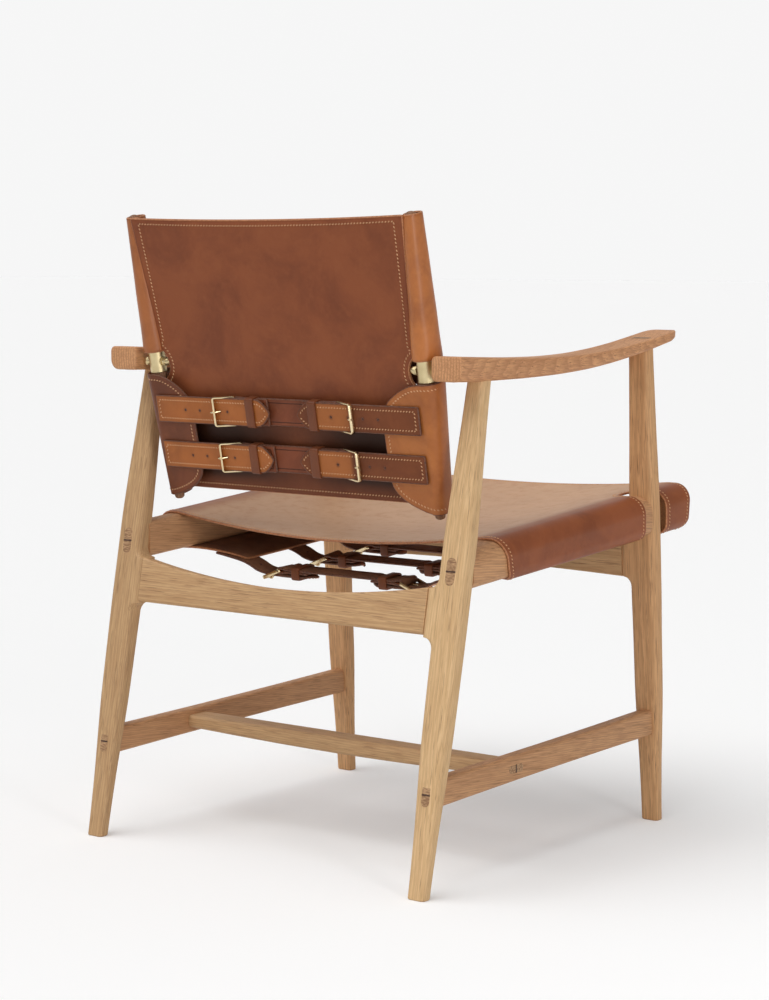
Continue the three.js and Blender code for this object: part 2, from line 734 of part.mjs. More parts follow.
function sideStretcher() {
  const back = legBody(legSpecs.back, backRailLow).translate(0, -gap, 0);
  const front = legBody(legSpecs.front, frontRailLow).translate(0, gap, 0);
  const bar = cut(stretcherBody(stretcherRearY, stretcherFrontY), back, front);
  const tenon = throughTenon(
    stretcherTenonLong, stretcherTenonShort, legDepth, stretcherTenonFrame, stretcherTenonFace,
    backLegBehind, kerfDepth, false,
  );
  const whole = join(bar, tenon, frontStretcherTenon(0));
  return cut(whole, mortise(crossTenonLong, crossTenonShort, stretcherThickness + overrun, crossTenonFrame));
}

function crossStretcher() {
  const end = legCentreX - stretcherThickness / 2 - gap;
  const z = stretcherZ(crossY);
  const rings = Array.from({ length: stretcherStations }, (_, k) => {
    const share = k / (stretcherStations - 1);
    const height = crossMiddleHeight * mix(crossEndShare, 1, Math.sin(share * Math.PI));
    const top = z + crossMiddleHeight * crossEndShare / 2;
    const deep = crossDepth / 2;
    return roundedOutline(
      crossY - deep, crossY + deep, top - height, top, Array(4).fill(crossRadius), 2,
    ).map((p) => point(mix(-end, end, share), p.x, p.y));
  });
  const tenon = throughTenon(
    crossTenonLong, crossTenonShort, stretcherThickness + overrun, crossTenonFrame, crossTenonFace,
    point(1, 0, 0), kerfDepth, false,
  );
  return join(loft(rings), tenon, mirrored(tenon));
}

// Back or front rail: an upright board with a hollowed top edge and stub tenons.
const railJoint = (spec) => legCentreX - legHalfWidth(spec, (spec.low + spec.high) / 2) - flareRadius;

function crossRail(spec, middle, arch) {
  const half = railJoint(spec) - gap;
  const centre = (spec.low + spec.high) / 2;
  const outline = [];
  for (let k = 0; k <= railCurveSteps; k += 1) {
    const share = 2 * k / railCurveSteps - 1;
    outline.push(new THREE.Vector2(half * share, spec.low - centre + arch * (1 - share * share)));
  }
  for (let k = railCurveSteps; k >= 0; k -= 1) {
    const share = 2 * k / railCurveSteps - 1;
    outline.push(new THREE.Vector2(half * share, mix(middle, spec.high, share * share) - centre));
  }
  const board = new THREE.ExtrudeGeometry(new THREE.Shape(outline), {
    depth: railDepth - 2 * railRounding,
    bevelThickness: railRounding,
    bevelSize: railRounding,
    bevelOffset: -railRounding,
    bevelSegments: 2,
  }).translate(0, 0, railRounding - railDepth / 2);
  const reach = half + stubTenonLength;
  const tall = (spec.high - spec.low) / 2 - stubTenonMargin;
  const stub = box(half - overrun, reach, -tall, tall, -stubTenonDepth / 2, stubTenonDepth / 2);
  return join(board, stub, mirrored(stub)).applyMatrix4(railFrame(spec));
}

function railFrame(spec) {
  const centre = (spec.low + spec.high) / 2;
  const behind = point(0, -1, spec.rake);
  return frameAlong(point(0, legY(spec, centre), centre), behind, point(1, 0, 0));
}

function stubMortise(spec) {
  const from = railJoint(spec) - overrun;
  const to = railJoint(spec) + stubTenonLength;
  const tall = (spec.high - spec.low) / 2 - stubTenonMargin + gap;
  const deep = stubTenonDepth / 2 + gap;
  return join(
    box(from, to, -tall, tall, -deep, deep), box(-to, -from, -tall, tall, -deep, deep),
  ).applyMatrix4(railFrame(spec));
}

function backLeg() {
  const top = armTop(legY(legSpecs.back, armTopLow)) - overrun;
  const body = cut(
    legBody(legSpecs.back, top), armSolid.clone().translate(0, 0, -gap), stubMortise(legSpecs.back),
    mortise(railTenonLong, railTenonShort, legDepth + overrun * 2, railTenonFrame),
    mortise(stretcherTenonLong, stretcherTenonShort, legDepth + overrun * 2, stretcherTenonFrame),
  );
  return join(body, blindTenon(0));
}

function blindTenon(room) {
  const y = legY(legSpecs.back, armTopLow);
  const under = armTop(y) - armDepth(y);
  const tenon = tenonPrism(
    legHalfWidth(legSpecs.back, under) + overrun, legHalfDepth(legSpecs.back, under),
    -legHeadLength * 2, blindTenonHeight + room * 2, room,
  );
  return placed(tenon, frameAlong(point(legCentreX, legY(legSpecs.back, under), under), backLegUp, point(1, 0, 0)));
}

function frontLeg() {
  const top = armTop(armTenonY) - armDepth(armTenonY) / 2;
  const crossing = overlap(sideRailBody(pivotY, gap), lapHalf(legCentreX - legWidth, legCentreX + gap / 2));
  const body = cut(
    legBody(legSpecs.front, top), armSolid.clone().translate(0, 0, -gap), stubMortise(legSpecs.front),
    crossing, frontStretcherTenon(gap),
  );
  const tenon = throughTenon(
    armTenonLong, armTenonShort, armThickness, armTenonFrame, armTenonFace, armTopNormal, armKerfDepth, true,
  );
  return join(body, tenon);
}

function armrest() {
  return cut(
    armSolid, mortise(armTenonLong, armTenonShort, armThickness, armTenonFrame), blindTenon(gap),
    boltShank(runningGap, armCentre - armHalf(pivotY) + boltInArm + gap),
  );
}

// Turned pieces: a profile of [radius, height] pairs turned about Z
function turned(profile, sides) {
  return new THREE.LatheGeometry(profile.map(([r, z]) => new THREE.Vector2(r, z)), sides)
    .applyMatrix4(new THREE.Matrix4().makeRotationX(Math.PI / 2));
}

function alongX(geometry) {
  return geometry.applyMatrix4(new THREE.Matrix4().makeRotationY(Math.PI / 2));
}

function boltShank(room, toX) {
  const from = rodCentreX - tubeRadius - nutBoreDepth;
  return alongX(turned([[0, 0], [boltRadius + room, 0], [boltRadius + room, toX - from], [0, toX - from]], boltSides))
    .translate(from, pivotY, pivotZ);
}

function pivotBolt() {
  const inner = rodCentreX + tubeRadius + gap;
  const outer = armCentre - armHalf(pivotY) - gap;
  const wide = boltCollarRadius * collarShoulderShare;
  const step = (outer - inner) * (1 - collarShoulderShare);
  const collar = alongX(turned([
    [0, 0], [wide, 0], [boltCollarRadius, step], [boltCollarRadius, outer - inner - step],
    [wide, outer - inner], [0, outer - inner],
  ], boltSides)).translate(inner, pivotY, pivotZ);
  return join(boltShank(0, armCentre - armHalf(pivotY) + boltInArm), collar);
}

function acornNut() {
  const bore = boltRadius + runningGap;
  const waist = nutRadius * nutWaistShare;
  const profile = [[bore, 0], [nutRadius, 0], [nutRadius, nutFlange], [waist, nutFlange]];
  for (let k = 1; k <= 4; k += 1) {
    const angle = (k / 4) * Math.PI / 2;
    profile.push([waist * Math.cos(angle), nutFlange + nutDome * Math.sin(angle)]);
  }
  profile.push([0, nutBoreDepth + runningGap], [bore, nutBoreDepth + runningGap], [bore, 0]);
  const nut = turned(profile, boltSides).applyMatrix4(new THREE.Matrix4().makeRotationY(-Math.PI / 2));
  return nut.translate(rodCentreX - tubeRadius - gap / 2, pivotY, pivotZ);
}

// The back's own frame: X across, Y up along the rods, Z towards the rear
const backFrame = new THREE.Matrix4().makeBasis(
  point(-1, 0, 0),
  point(0, Math.sin(reclineAngle), Math.cos(reclineAngle)),
  point(0, Math.cos(reclineAngle), -Math.sin(reclineAngle)),
).setPosition(point(0, pivotY, pivotZ));
const onBack = (geometry) => geometry.clone().applyMatrix4(backFrame);
const rodX = (s) => -(rodCentreX + rodSplayShare * s);
const rodFrame = frameAlong(point(-rodCentreX, 0, 0), point(-rodSplayShare, 1, 0), point(1, 0, 0));

function rodBody() {
  const profile = [
    [0, rodBottom], [rodBottomRadius * 3 / 4, rodBottom + rodDome / 4], [rodBottomRadius, rodBottom + rodDome],
    [rodLowerRadius, rodBottom + rodTaperLength], [rodLowerRadius, -tubeHalfLength - gap],
    [rodUpperRadius, -tubeHalfLength - gap], [rodUpperRadius, rodTop - rodTaperLength],
    [rodTopRadius, rodTop - rodDome], [rodTopRadius * 3 / 4, rodTop - rodDome / 4], [0, rodTop],
  ];
  return turned(profile, rodSides).applyMatrix4(rodFrame);
}

function pivotBore() {
  const length = tubeRadius * 3;
  const radius = boltRadius + runningGap;
  return alongX(turned([[0, 0], [radius, 0], [radius, length], [0, length]], boltSides))
    .translate(-rodCentreX - length / 2, 0, 0);
}

function backRod() {
  return onBack(cut(rodBody(), pivotBore()));
}

function brassTube() {
  const profile = [
    [tubeBore, -tubeHalfLength], [tubeRadius, -tubeHalfLength], [tubeRadius, tubeHalfLength],
    [tubeBore, tubeHalfLength], [tubeBore, -tubeHalfLength],
  ];
  return onBack(cut(turned(profile, rodSides).applyMatrix4(rodFrame), pivotBore()));
}

// Leather of the back, in the back's own frame
const upShare = (s) => (s - panelBottom) / (panelTop - panelBottom);
const panelRear = (s) => mix(panelRearBottom, panelRearTop, upShare(s));

// Moves a flat plate so that its rear face follows a height that changes along the back.
function slantPlate(geometry, thickness, rearAt) {
  const moved = geometry.clone();
  const place = moved.attributes.position;
  for (let i = 0; i < place.count; i += 1) {
    place.setZ(i, place.getZ(i) - thickness / 2 + rearAt(place.getY(i)));
  }
  return moved;
}

function panelEdge(s) {
  if (s < sleeveMouth) return mix(wrapBottomRadius, wrapTopRadius, wrapShare(s)) - leather / 2;
  const share = (s - sleeveMouth) / (panelTop - sleeveMouth);
  return mix(sleeveMouthWide - leather / 2, sleeveTopWide / 2, share);
}

function backPanel() {
  const right = [];
  for (let k = 0; k <= panelSteps; k += 1) {
    const s = mix(panelBottom, panelTop, k / panelSteps);
    right.push(new THREE.Vector2(-rodX(s) - panelEdge(s), s));
  }
  const top = [];
  for (let k = 1; k < panelSteps; k += 1) {
    const share = 1 - 2 * k / panelSteps;
    top.push(new THREE.Vector2(right[panelSteps].x * share, panelTop - panelTopSag * (1 - share * share)));
  }
  const left = right.map((p) => new THREE.Vector2(-p.x, p.y)).reverse();
  const plate = prism([...right, ...top, ...left], panelThickness);
  return slantPlate(plate, panelThickness, panelRear);
}

function sleeveRing(s, inset) {
  const share = (s - sleeveMouth) / (panelTop - sleeveMouth);
  const wide = mix(sleeveMouthWide, sleeveTopWide, share) - inset;
  const deep = mix(sleeveMouthDeep, sleeveTopDeep, share) - inset;
  const shift = -mix(sleeveMouthShift, sleeveTopShift, share);
  return Array.from({ length: sleeveSides }, (_, k) => {
    const angle = (2 * Math.PI * k) / sleeveSides;
    return point(rodX(s) + wide * Math.cos(angle), s, shift + deep * Math.sin(angle));
  });
}

function upperSleeve() {
  const heights = Array.from({ length: sleeveStations }, (_, k) => mix(sleeveMouth, panelTop, k / (sleeveStations - 1)));
  return sheet(heights.map((s) => sleeveRing(s, 0)), heights.map((s) => sleeveRing(s, leather)), true);
}

function wrapShare(s) {
  return THREE.MathUtils.clamp((s - wrapBottom) / (wrapTop - wrapBottom), 0, 1);
}

// The lower wrap: from the panel round the front and outside of the rod to its rear. It hangs
// loose ahead of the rod, where its half circle is drawn out to an ellipse.
function wrapRing(s, inset) {
  const radius = mix(wrapBottomRadius, wrapTopRadius, wrapShare(s)) - inset;
  const front = radius + mix(wrapBottomHang, wrapTopHang, wrapShare(s));
  return Array.from({ length: wrapSteps + 1 }, (_, k) => {
    const angle = (1 / 2 - (k / wrapSteps) * 3 / 2) * Math.PI;
    const deep = angle < 0 ? front : radius;
    return point(rodX(s) - radius * Math.cos(angle), s, deep * Math.sin(angle));
  });
}

function lowerWrap() {
  const heights = Array.from({ length: wrapStations }, (_, k) => mix(wrapBottom, wrapTop, k / (wrapStations - 1)));
  return sheet(heights.map((s) => wrapRing(s, 0)), heights.map((s) => wrapRing(s, leather)));
}

const wingRear = (s) => mix(wrapBottomRadius, wrapTopRadius, wrapShare(s));

function rearWing() {
  const root = leather / 2;
  const across = -rodX(wrapTop) - wingInner;
  const tall = wrapTop - wrapBottom;
  const edge = wingShares.map(([a, b]) => new THREE.Vector2(-rodX(wrapTop) - a * across, wrapTop - b * tall));
  const outline = [
    new THREE.Vector2(root - rodX(wrapTop), wrapTop), ...edge,
    new THREE.Vector2(root - rodX(wrapBottom), wrapBottom),
  ].map((p) => new THREE.Vector2(-p.x, p.y));
  return slantPlate(prism(outline, leather), leather, wingRear);
}

function backSling() {
  const side = join(upperSleeve(), lowerWrap(), rearWing());
  const notch = prism(circle(-rodCentreX, -notchDrop, notchRadius, notchSides), legCentreX);
  const panel = cut(backPanel(), notch, mirrored(notch));
  return onBack(join(panel, side, mirrored(side)));
}

// One row of straps, in a frame with X across, Y along the straps' width and Z outwards.
// Zero height is the inner face of the billets.
function eyeCentre(row) {
  return new THREE.Vector2(row.buckle - buckleLength, -gap - wireRadius - runningGap * 2 - eyeWall);
}

function centreStrap(row) {
  const eye = eyeCentre(row);
  const outerRadius = wireRadius + runningGap * 2 + eyeWall;
  const half = [
    [row.fold, eye.y], [row.fold + strapThickness / 2, eye.y + strapThickness], [eye.x, eye.y + strapThickness],
  ];
  const arc = Array.from({ length: eyeSides / 2 + 1 }, (_, k) => {
    const angle = Math.PI * (1 / 2 - k / (eyeSides / 2));
    return [eye.x + outerRadius * Math.cos(angle), eye.y + outerRadius * Math.sin(angle)];
  });
  const lowSide = [[eye.x, eye.y - strapThickness]];
  const rightSide = [...half, ...arc, ...lowSide];
  const leftSide = rightSide.map(([x, z]) => [-x, z]).reverse();
  const outline = [...rightSide, ...leftSide].map(([x, z]) => new THREE.Vector2(x, z));
  const bore = wireRadius + runningGap * 2;
  const holes = [-1, 1].map((side) => circle(side * eye.x, eye.y, bore, eyeSides));
  const strap = prism(outline, row.width, holes).applyMatrix4(new THREE.Matrix4().makeRotationX(Math.PI / 2));
  const slot = box(
    eye.x - outerRadius - overrun / 2, eye.x + overrun, -prongSlot / 2, prongSlot / 2, eye.y - overrun, overrun,
  );
  return cut(strap, slot, mirrored(slot));
}

function buckleFrame(row) {
  const eye = eyeCentre(row);
  const half = row.width / 2 + buckleSideRoom + wireRadius;
  const rise = strapThickness + gap + wireRadius - eye.y;
  const tilt = Math.atan2(rise, buckleLength);
  const length = Math.hypot(rise, buckleLength);
  const path = roundedOutline(
    0, length, -half, half, Array(4).fill(buckleCorner), buckleCornerSteps,
  ).map((p) => point(eye.x + p.x * Math.cos(tilt), p.y, eye.y + p.x * Math.sin(tilt)));
  return wire(path, wireRadius, true, point(-Math.sin(tilt), 0, Math.cos(tilt)));
}

// The tongue: an eye round the buckle's inner bar and a cranked point over its outer bar.
function buckleTongue(row, room) {
  const eye = eyeCentre(row);
  const ringRadius = wireRadius + prongRadius + room;
  const ring = new THREE.TorusGeometry(ringRadius, prongRadius, wireSides, eyeSides)
    .applyMatrix4(new THREE.Matrix4().makeRotationX(Math.PI / 2)).translate(eye.x, 0, eye.y);
  const over = strapThickness + gap + wireRadius * 2 + prongRadius + room;
  const under = -prongRadius - gap * 2;
  const hole = tongueHole(row);
  const path = [
    [eye.x + ringRadius * 2 / 3, under - gap], [hole - prongRadius * 2, under],
    [hole, strapThickness / 2], [row.buckle - wireRadius * 3 / 2, over - gap], [row.buckle, over],
    [row.buckle + prongReach, over - gap],
  ].map(([x, z]) => point(x, 0, z));
  return join(ring, wire(path, prongRadius, false, point(0, 1, 0)));
}

const tongueHole = (row) => row.buckle - buckleLength / 4;

// A billet: sewn at its outer end, pointed at the other, bent at the given points.
function billet(row, bends) {
  const half = row.width / 2;
  const points = [
    [row.tip, half * tipWidthShare, 0], [row.tip + tipLength / 3, half * (1 + tipWidthShare) / 2, 0],
    [row.tip + tipLength, half, 0], ...bends.map(([x, z]) => [x, half, z]),
  ];
  const path = points.map(([x, , z]) => new THREE.Vector2(x, z));
  const band = strip(path, points.map(([, w]) => w), strapThickness);
  const hole = tongueHole(row);
  const length = prongRadius * 3;
  return cut(band, box(hole - length, hole + length, -prongSlot / 2, prongSlot / 2, -overrun, overrun));
}

// A keeper round both straps; a sewn one bites into the centre strap's inner face.
function keeperLoop(row, sewn) {
  const room = gap;
  const low = eyeCentre(row).y - strapThickness + (sewn ? room : -room);
  const high = strapThickness + room;
  const half = row.width / 2 + room;
  const ring = (extra) => roundedOutline(
    -half - extra, half + extra, low - extra, high + extra, Array(4).fill(gap / 2 + extra * keeperRoundShare), 2,
  );
  const band = prism(ring(keeperThickness), keeperLength, [ring(0)]);
  return band.applyMatrix4(frameAlong(point(row.keeper, 0, 0), point(1, 0, 0), point(0, 1, 0)));
}

function strapRow(shares, reach, width) {
  const places = Object.entries(shares).map(([part, share]) => [part, share * reach]);
  return { ...Object.fromEntries(places), width };
}
const backRow = strapRow(backStrapShares, rodCentreX, backStrapWidth);
const seatRow = strapRow(seatStrapShares, legCentreX, seatStrapWidth);

const backRowFrame = (s) => backFrame.clone().multiply(move(0, s, wingRear(s + backStrapWidth / 2) + gap));
// The strap rows are drawn on +X, the sitter's right in the back's own frame.
const backPiece = (geometry, s) => placed(mirrored(geometry), backRowFrame(s));

// Leather of the seat
const skin = gap + leather / 2;

function seatPath(y, side) {
  const top = sideRailTopAt(y);
  const low = sideRailLowAt(y);
  const outerTop = new THREE.Vector2(sideRailOuter - sideRailOuterTopRadius, top - sideRailOuterTopRadius);
  const outerLow = new THREE.Vector2(sideRailOuter - sideRailOuterLowRadius, low + sideRailOuterLowRadius);
  const offset = skin + side * leather / 2;
  const inner = wingInnerAt(y);
  const path = [];
  [0, 1 / 2, 1].forEach((share) => {
    path.push([mix(inner, wingRootX, share), low - offset - wingDropAt(y) * (1 - share) * (1 - share)]);
  });
  const arc = (centre, radius, from) => {
    for (let k = 0; k <= seatArcSteps; k += 1) {
      const angle = from + (k / seatArcSteps) * Math.PI / 2;
      path.push([centre.x + (radius + offset) * Math.cos(angle), centre.y + (radius + offset) * Math.sin(angle)]);
    }
  };
  arc(outerLow, sideRailOuterLowRadius, -Math.PI / 2);
  arc(outerTop, sideRailOuterTopRadius, 0);
  for (let k = 0; k < seatHalfColumns; k += 1) {
    const share = 1 - k / seatHalfColumns;
    path.push([seatRestX * share, top + offset - seatSagAt(y) * (1 - share * share)]);
  }
  return path;
}

const seatShare = (y) => (seatRearY - y) / (seatRearY - seatFrontY);
function seatSagAt(y) {
  const share = seatShare(y);
  return mix(seatSagRear, seatSagFront, share) + seatSagMiddle * 4 * share * (1 - share);
}
function wingInnerAt(y) {
  const share = THREE.MathUtils.clamp((wingFrontY - y) / (wingFrontY - wingEndY), 0, 1);
  return mix(seatWingEdge, wingRootX - leather, share * share);
}
const wingDropAt = (y) => wingDrop * (wingRootX - wingInnerAt(y)) / (wingRootX - seatWingEdge);

// How far the sheet's two ends are cut back at a place across it: nothing on top of the
// rail, most at the edge under the seat.
function cutBack(column, columns) {
  const turn = 3 + 2 * (seatArcSteps + 1);
  const share = THREE.MathUtils.clamp(1 - Math.min(column, columns - 1 - column) / turn, 0, 1);
  return share * share;
}

function seatGrid(side) {
  const middle = (y) => [0, sideRailTopAt(y) + skin + side * leather / 2 - seatSagAt(y)];
  const rows = [];
  for (let i = 0; i <= seatRows; i += 1) {
    const share = i / seatRows;
    const columns = seatPath(seatRearY, side).length * 2 + 1;
    rows.push(Array.from({ length: columns }, (_, j) => {
      const back = cutBack(j, columns);
      const y = mix(seatRearY - wingRearSlant * back, seatFrontY + noseSlant * back, share);
      const half = seatPath(y, side);
      const whole = [...half, middle(y), ...half.map(([x, z]) => [-x, z]).reverse()];
      return point(whole[j][0], y, whole[j][1]);
    }));
  }
  return rows;
}

function legHole() {
  const half = legHoleWidth / 2;
  const outline = Array.from({ length: legHoleSteps + 1 }, (_, k) => {
    const angle = (1 / 2 + k / legHoleSteps) * Math.PI;
    return new THREE.Vector2(legHoleInner + half + half * Math.cos(angle), legHoleY + half * Math.sin(angle));
  });
  const far = sideRailOuter + legWidth;
  outline.push(new THREE.Vector2(far, legHoleY - half), new THREE.Vector2(far, legHoleY + half));
  return prism(outline, sideRailHeight * 4).translate(0, 0, sideRailMiddle(legHoleY));
}

const seatTilt = Math.atan(sideRailTopSlopeShare);
const seatRowFrame = (y) => new THREE.Matrix4()
  .makeTranslation(0, y, sideRailLowAt(y) - seatRowDrop)
  .multiply(new THREE.Matrix4().makeRotationX(Math.PI - seatTilt));
const seatPiece = (geometry, y) => placed(geometry, seatRowFrame(y));

// Where the wing's underside lies above a seat row, outwards counted as positive.
function wingUnder(x, y) {
  const share = (x - seatWingEdge) / (wingRootX - seatWingEdge);
  return skin + leather / 2 + wingDrop * (1 - share) * (1 - share) - seatRowDrop;
}

const seatRowYs = seatRowShares.map((share) => mix(seatRearY, seatFrontY, share));

function seatSling() {
  const bed = cut(sheet(seatGrid(1), seatGrid(-1)), legHole(), mirrored(legHole()));
  const bends = (y) => [
    [seatRow.buckle + wireRadius * 2, 0], [seatWingEdge - strapThickness, wingUnder(seatWingEdge, y) - gap],
    [mix(seatWingEdge, seatRow.sewn, 1 / 2), wingUnder(mix(seatWingEdge, seatRow.sewn, 1 / 2), y) - gap],
    [seatRow.sewn, wingUnder(seatRow.sewn, y) - gap],
  ];
  const billets = seatRowYs.flatMap((y) => {
    const one = seatPiece(billet(seatRow, bends(y)), y);
    return [one, mirrored(one)];
  });
  return join(bed, ...billets);
}

// Names and colours
const chair = new THREE.Group();
chair.name = 'sling_lounge_chair';

function addPiece(name, geometry, [color, roughness, metalness]) {
  const bare = geometry.clone();
  bare.deleteAttribute('normal');
  bare.deleteAttribute('uv');
  const clean = mergeVertices(bare, mergeDistance);
  clean.computeVertexNormals();
  const mesh = new THREE.Mesh(clean, new THREE.MeshStandardMaterial({ color, roughness, metalness }));
  mesh.name = name;
  chair.add(mesh);
}

function addPair(name, geometry, finish) {
  addPiece(`${name}_left`, geometry, finish);
  addPiece(`${name}_right`, mirrored(geometry), finish);
}

addPair('back_leg', backLeg(), oak);
addPair('front_leg', frontLeg(), oak);
addPiece('back_rail', crossRail(legSpecs.back, backRailMiddle, 0), oak);
addPiece('front_rail', crossRail(legSpecs.front, frontRailMiddle, frontRailArch), oak);
addPair('seat_side_rail', seatSideRail(), oak);
addPair('side_stretcher', sideStretcher(), oak);
addPiece('cross_stretcher', crossStretcher(), oak);
addPair('armrest', armrest(), oak);
addPair('seat_rail_wedge', flushWedge(
  railTenonLong, railTenonShort, railTenonFrame, railTenonFace, backLegBehind, kerfDepth, false,
), oakEnd);
addPair('stretcher_wedge', flushWedge(
  stretcherTenonLong, stretcherTenonShort, stretcherTenonFrame, stretcherTenonFace, backLegBehind, kerfDepth, false,
), oakEnd);
addPair('cross_stretcher_wedge', flushWedge(
  crossTenonLong, crossTenonShort, crossTenonFrame, crossTenonFace, point(1, 0, 0), kerfDepth, false,
), oakEnd);
addPair('armrest_wedge', flushWedge(
  armTenonLong, armTenonShort, armTenonFrame, armTenonFace, armTopNormal, armKerfDepth, true,
), oakEnd);
addPair('pivot_bolt', pivotBolt(), brass);
addPair('acorn_nut', acornNut(), brass);
addPair('back_rod', backRod(), oak);
addPair('brass_tube', brassTube(), brass);
addPiece('back_sling', backSling(), hide);
backRowShares.forEach((share, i) => {
  const s = mix(wrapTop, wrapBottom, share);
  const level = ['upper', 'lower'][i];
  const sewn = [[wingInner, 0], [backRow.sewn, 0]];
  addPiece(`back_centre_strap_${level}`, backPiece(centreStrap(backRow), s), strapHide);
  addPair(`back_billet_${level}`, backPiece(billet(backRow, sewn), s), strapHide);
  addPair(`back_keeper_${level}`, backPiece(keeperLoop(backRow, false), s), strapHide);
  addPair(`back_buckle_frame_${level}`, backPiece(buckleFrame(backRow), s), brass);
  addPair(`back_buckle_tongue_${level}`, backPiece(buckleTongue(backRow, runningGap), s), brass);
});
addPiece('seat_sling', seatSling(), hide);
seatRowYs.forEach((y, i) => {
  const place = ['rear', 'middle', 'front'][i];
  const keeper = keeperLoop(seatRow, true);
  const strap = join(centreStrap(seatRow), keeper, mirrored(keeper));
  addPiece(`seat_centre_strap_${place}`, seatPiece(strap, y), strapHide);
  const buckle = join(buckleFrame(seatRow), buckleTongue(seatRow, -gap));
  addPair(`seat_buckle_${place}`, seatPiece(buckle, y), brass);
});

// The origin is under the middle of the whole chair, on the floor.
const bounds = new THREE.Box3().setFromObject(chair);
chair.children.forEach((mesh) => mesh.geometry.translate(0, -(bounds.min.y + bounds.max.y) / 2, -bounds.min.z));

export default chair;
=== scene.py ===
"""Dresses the sling lounge chair: oak frame, leather back and seat, buckled straps, brass pivots.

Sizes are in millimetres from the chair's own datum, whose origin lies DATUM_Y ahead of the
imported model's; each mesh is scaled to metres and moved by that when it is made. +Z is up, the
sitter faces -Y and the sitter's left is +X.
"""

import logging
from collections.abc import Callable, Sequence
from dataclasses import dataclass, field, replace
from enum import Enum
from math import atan, atan2, cos, hypot, pi, radians, sin

import bpy
import numpy as np
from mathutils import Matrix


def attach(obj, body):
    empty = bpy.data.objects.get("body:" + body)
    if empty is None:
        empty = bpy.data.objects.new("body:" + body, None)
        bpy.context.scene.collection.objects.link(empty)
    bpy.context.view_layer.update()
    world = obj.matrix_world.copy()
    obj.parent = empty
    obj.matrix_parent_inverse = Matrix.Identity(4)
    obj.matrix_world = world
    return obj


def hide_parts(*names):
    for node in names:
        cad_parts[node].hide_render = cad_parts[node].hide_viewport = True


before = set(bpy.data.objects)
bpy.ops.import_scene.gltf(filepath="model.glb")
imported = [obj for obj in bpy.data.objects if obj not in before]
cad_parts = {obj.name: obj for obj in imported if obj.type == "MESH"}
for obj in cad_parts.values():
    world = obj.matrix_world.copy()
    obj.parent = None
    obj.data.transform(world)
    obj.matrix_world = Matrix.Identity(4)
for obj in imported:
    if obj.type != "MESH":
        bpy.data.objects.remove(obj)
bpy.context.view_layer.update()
DATUM_Y = 24.62
METRE = 0.001
# Faces that meet at more than this keep a sharp edge
SHARP_FROM = radians(38)
# A hair in millimetres, by which a grid's own edge counts as within its outline
ON_EDGE = 1e-4
Array = np.ndarray
Tone = tuple[int, int, int]
Socket = bpy.types.NodeSocket
Wave = Callable[[Array, Array], Array]
log = logging.getLogger("sling_chair")


class Body(Enum):
    """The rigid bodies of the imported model."""

    FRAME = "frame"
    BACK = "back"


class Slot(Enum):
    """The record's material slots."""

    OAK = "oak"
    WEDGE = "wedge_wood"
    SADDLE = "saddle_leather"
    STRAP = "strap_leather"
    BRASS = "brass"


class Grain(Enum):
    """The axis along which a board's grain runs."""

    ACROSS = 0
    DEEP = 1
    UPRIGHT = 2


# Lines of points and the numbers along them


def stacked(*parts: object) -> Array:
    """Numbers and arrays spread to one shape, as the columns of a new last axis."""
    return np.stack(np.broadcast_arrays(*parts), axis=-1)


def smooth_rows(rows: Sequence[Sequence[float]], at: Array) -> Array:
    """Reads a smooth curve through rows, without overshoot between them.

    Between two rows the value is their smoothstep mix plus the two rows' own slopes, each slope
    the harmonic mean of its neighbours, and nought at a turn.

    Args:
        rows: position first, then one or more values.
        at: positions to read.

    Returns:
        An array with a row for each position and a column for each value.
    """
    table = np.asarray(rows, float)
    place, value = table[:, 0], table[:, 1:]
    slope = np.diff(value, axis=0) / np.diff(place)[:, None]
    bend = np.zeros_like(value)
    before, after = slope[:-1], slope[1:]
    same = before * after > 0
    bend[1:-1][same] = 2 / (1 / before[same] + 1 / after[same])
    at = np.clip(np.atleast_1d(at), place[0], place[-1])
    i = np.clip(np.searchsorted(place, at, side="right") - 1, 0, len(place) - 2)
    span = (place[i + 1] - place[i])[:, None]
    t = (at[:, None] - place[i][:, None]) / span
    rise = t * t * (3 - 2 * t)
    lift = t * (1 - t) ** 2 * bend[i] - t * t * (1 - t) * bend[i + 1]
    return value[i] * (1 - rise) + value[i + 1] * rise + span * lift


def gone_along(points: Array) -> Array:
    """How far along a line of points each of them lies."""
    return np.concatenate([[0], np.cumsum(np.linalg.norm(np.diff(points, axis=0), axis=1))])


def read_columns(at: Array, gone: Array, values: Array) -> Array:
    """The columns of values that are known at distances gone, read at other distances."""
    return np.stack([np.interp(at, gone, column) for column in values.T], axis=-1)


def spaced(points: Array, step: float) -> Array:
    """Points at an even distance along a line of points, its two ends kept."""
    gone = gone_along(points)
    count = max(2, int(round(gone[-1] / step)) + 1)
    return read_columns(np.linspace(0, gone[-1], count), gone, points)


def rounded(points: Sequence[Sequence[float]], passes: int = 3) -> Array:
    """Rounds the corners of an open line by cutting them, keeping its ends."""
    line = np.asarray(points, float)
    for _ in range(passes):
        near = line[:-1] * 0.75 + line[1:] * 0.25
        far = line[:-1] * 0.25 + line[1:] * 0.75
        inner = np.stack([near, far], axis=1).reshape(-1, line.shape[1])
        line = np.concatenate([line[:1], inner, line[-1:]])
    return line


def unit(vectors: Array) -> Array:
    """Vectors of length one."""
    size = np.linalg.norm(vectors, axis=-1, keepdims=True)
    return vectors / np.maximum(size, 1e-9)


def eased(values: Array) -> Array:
    """Shares of nought to one, eased in and out by a smoothstep."""
    share = np.clip(values, 0, 1)
    return share ** 2 * (3 - 2 * share)


# Surfaces


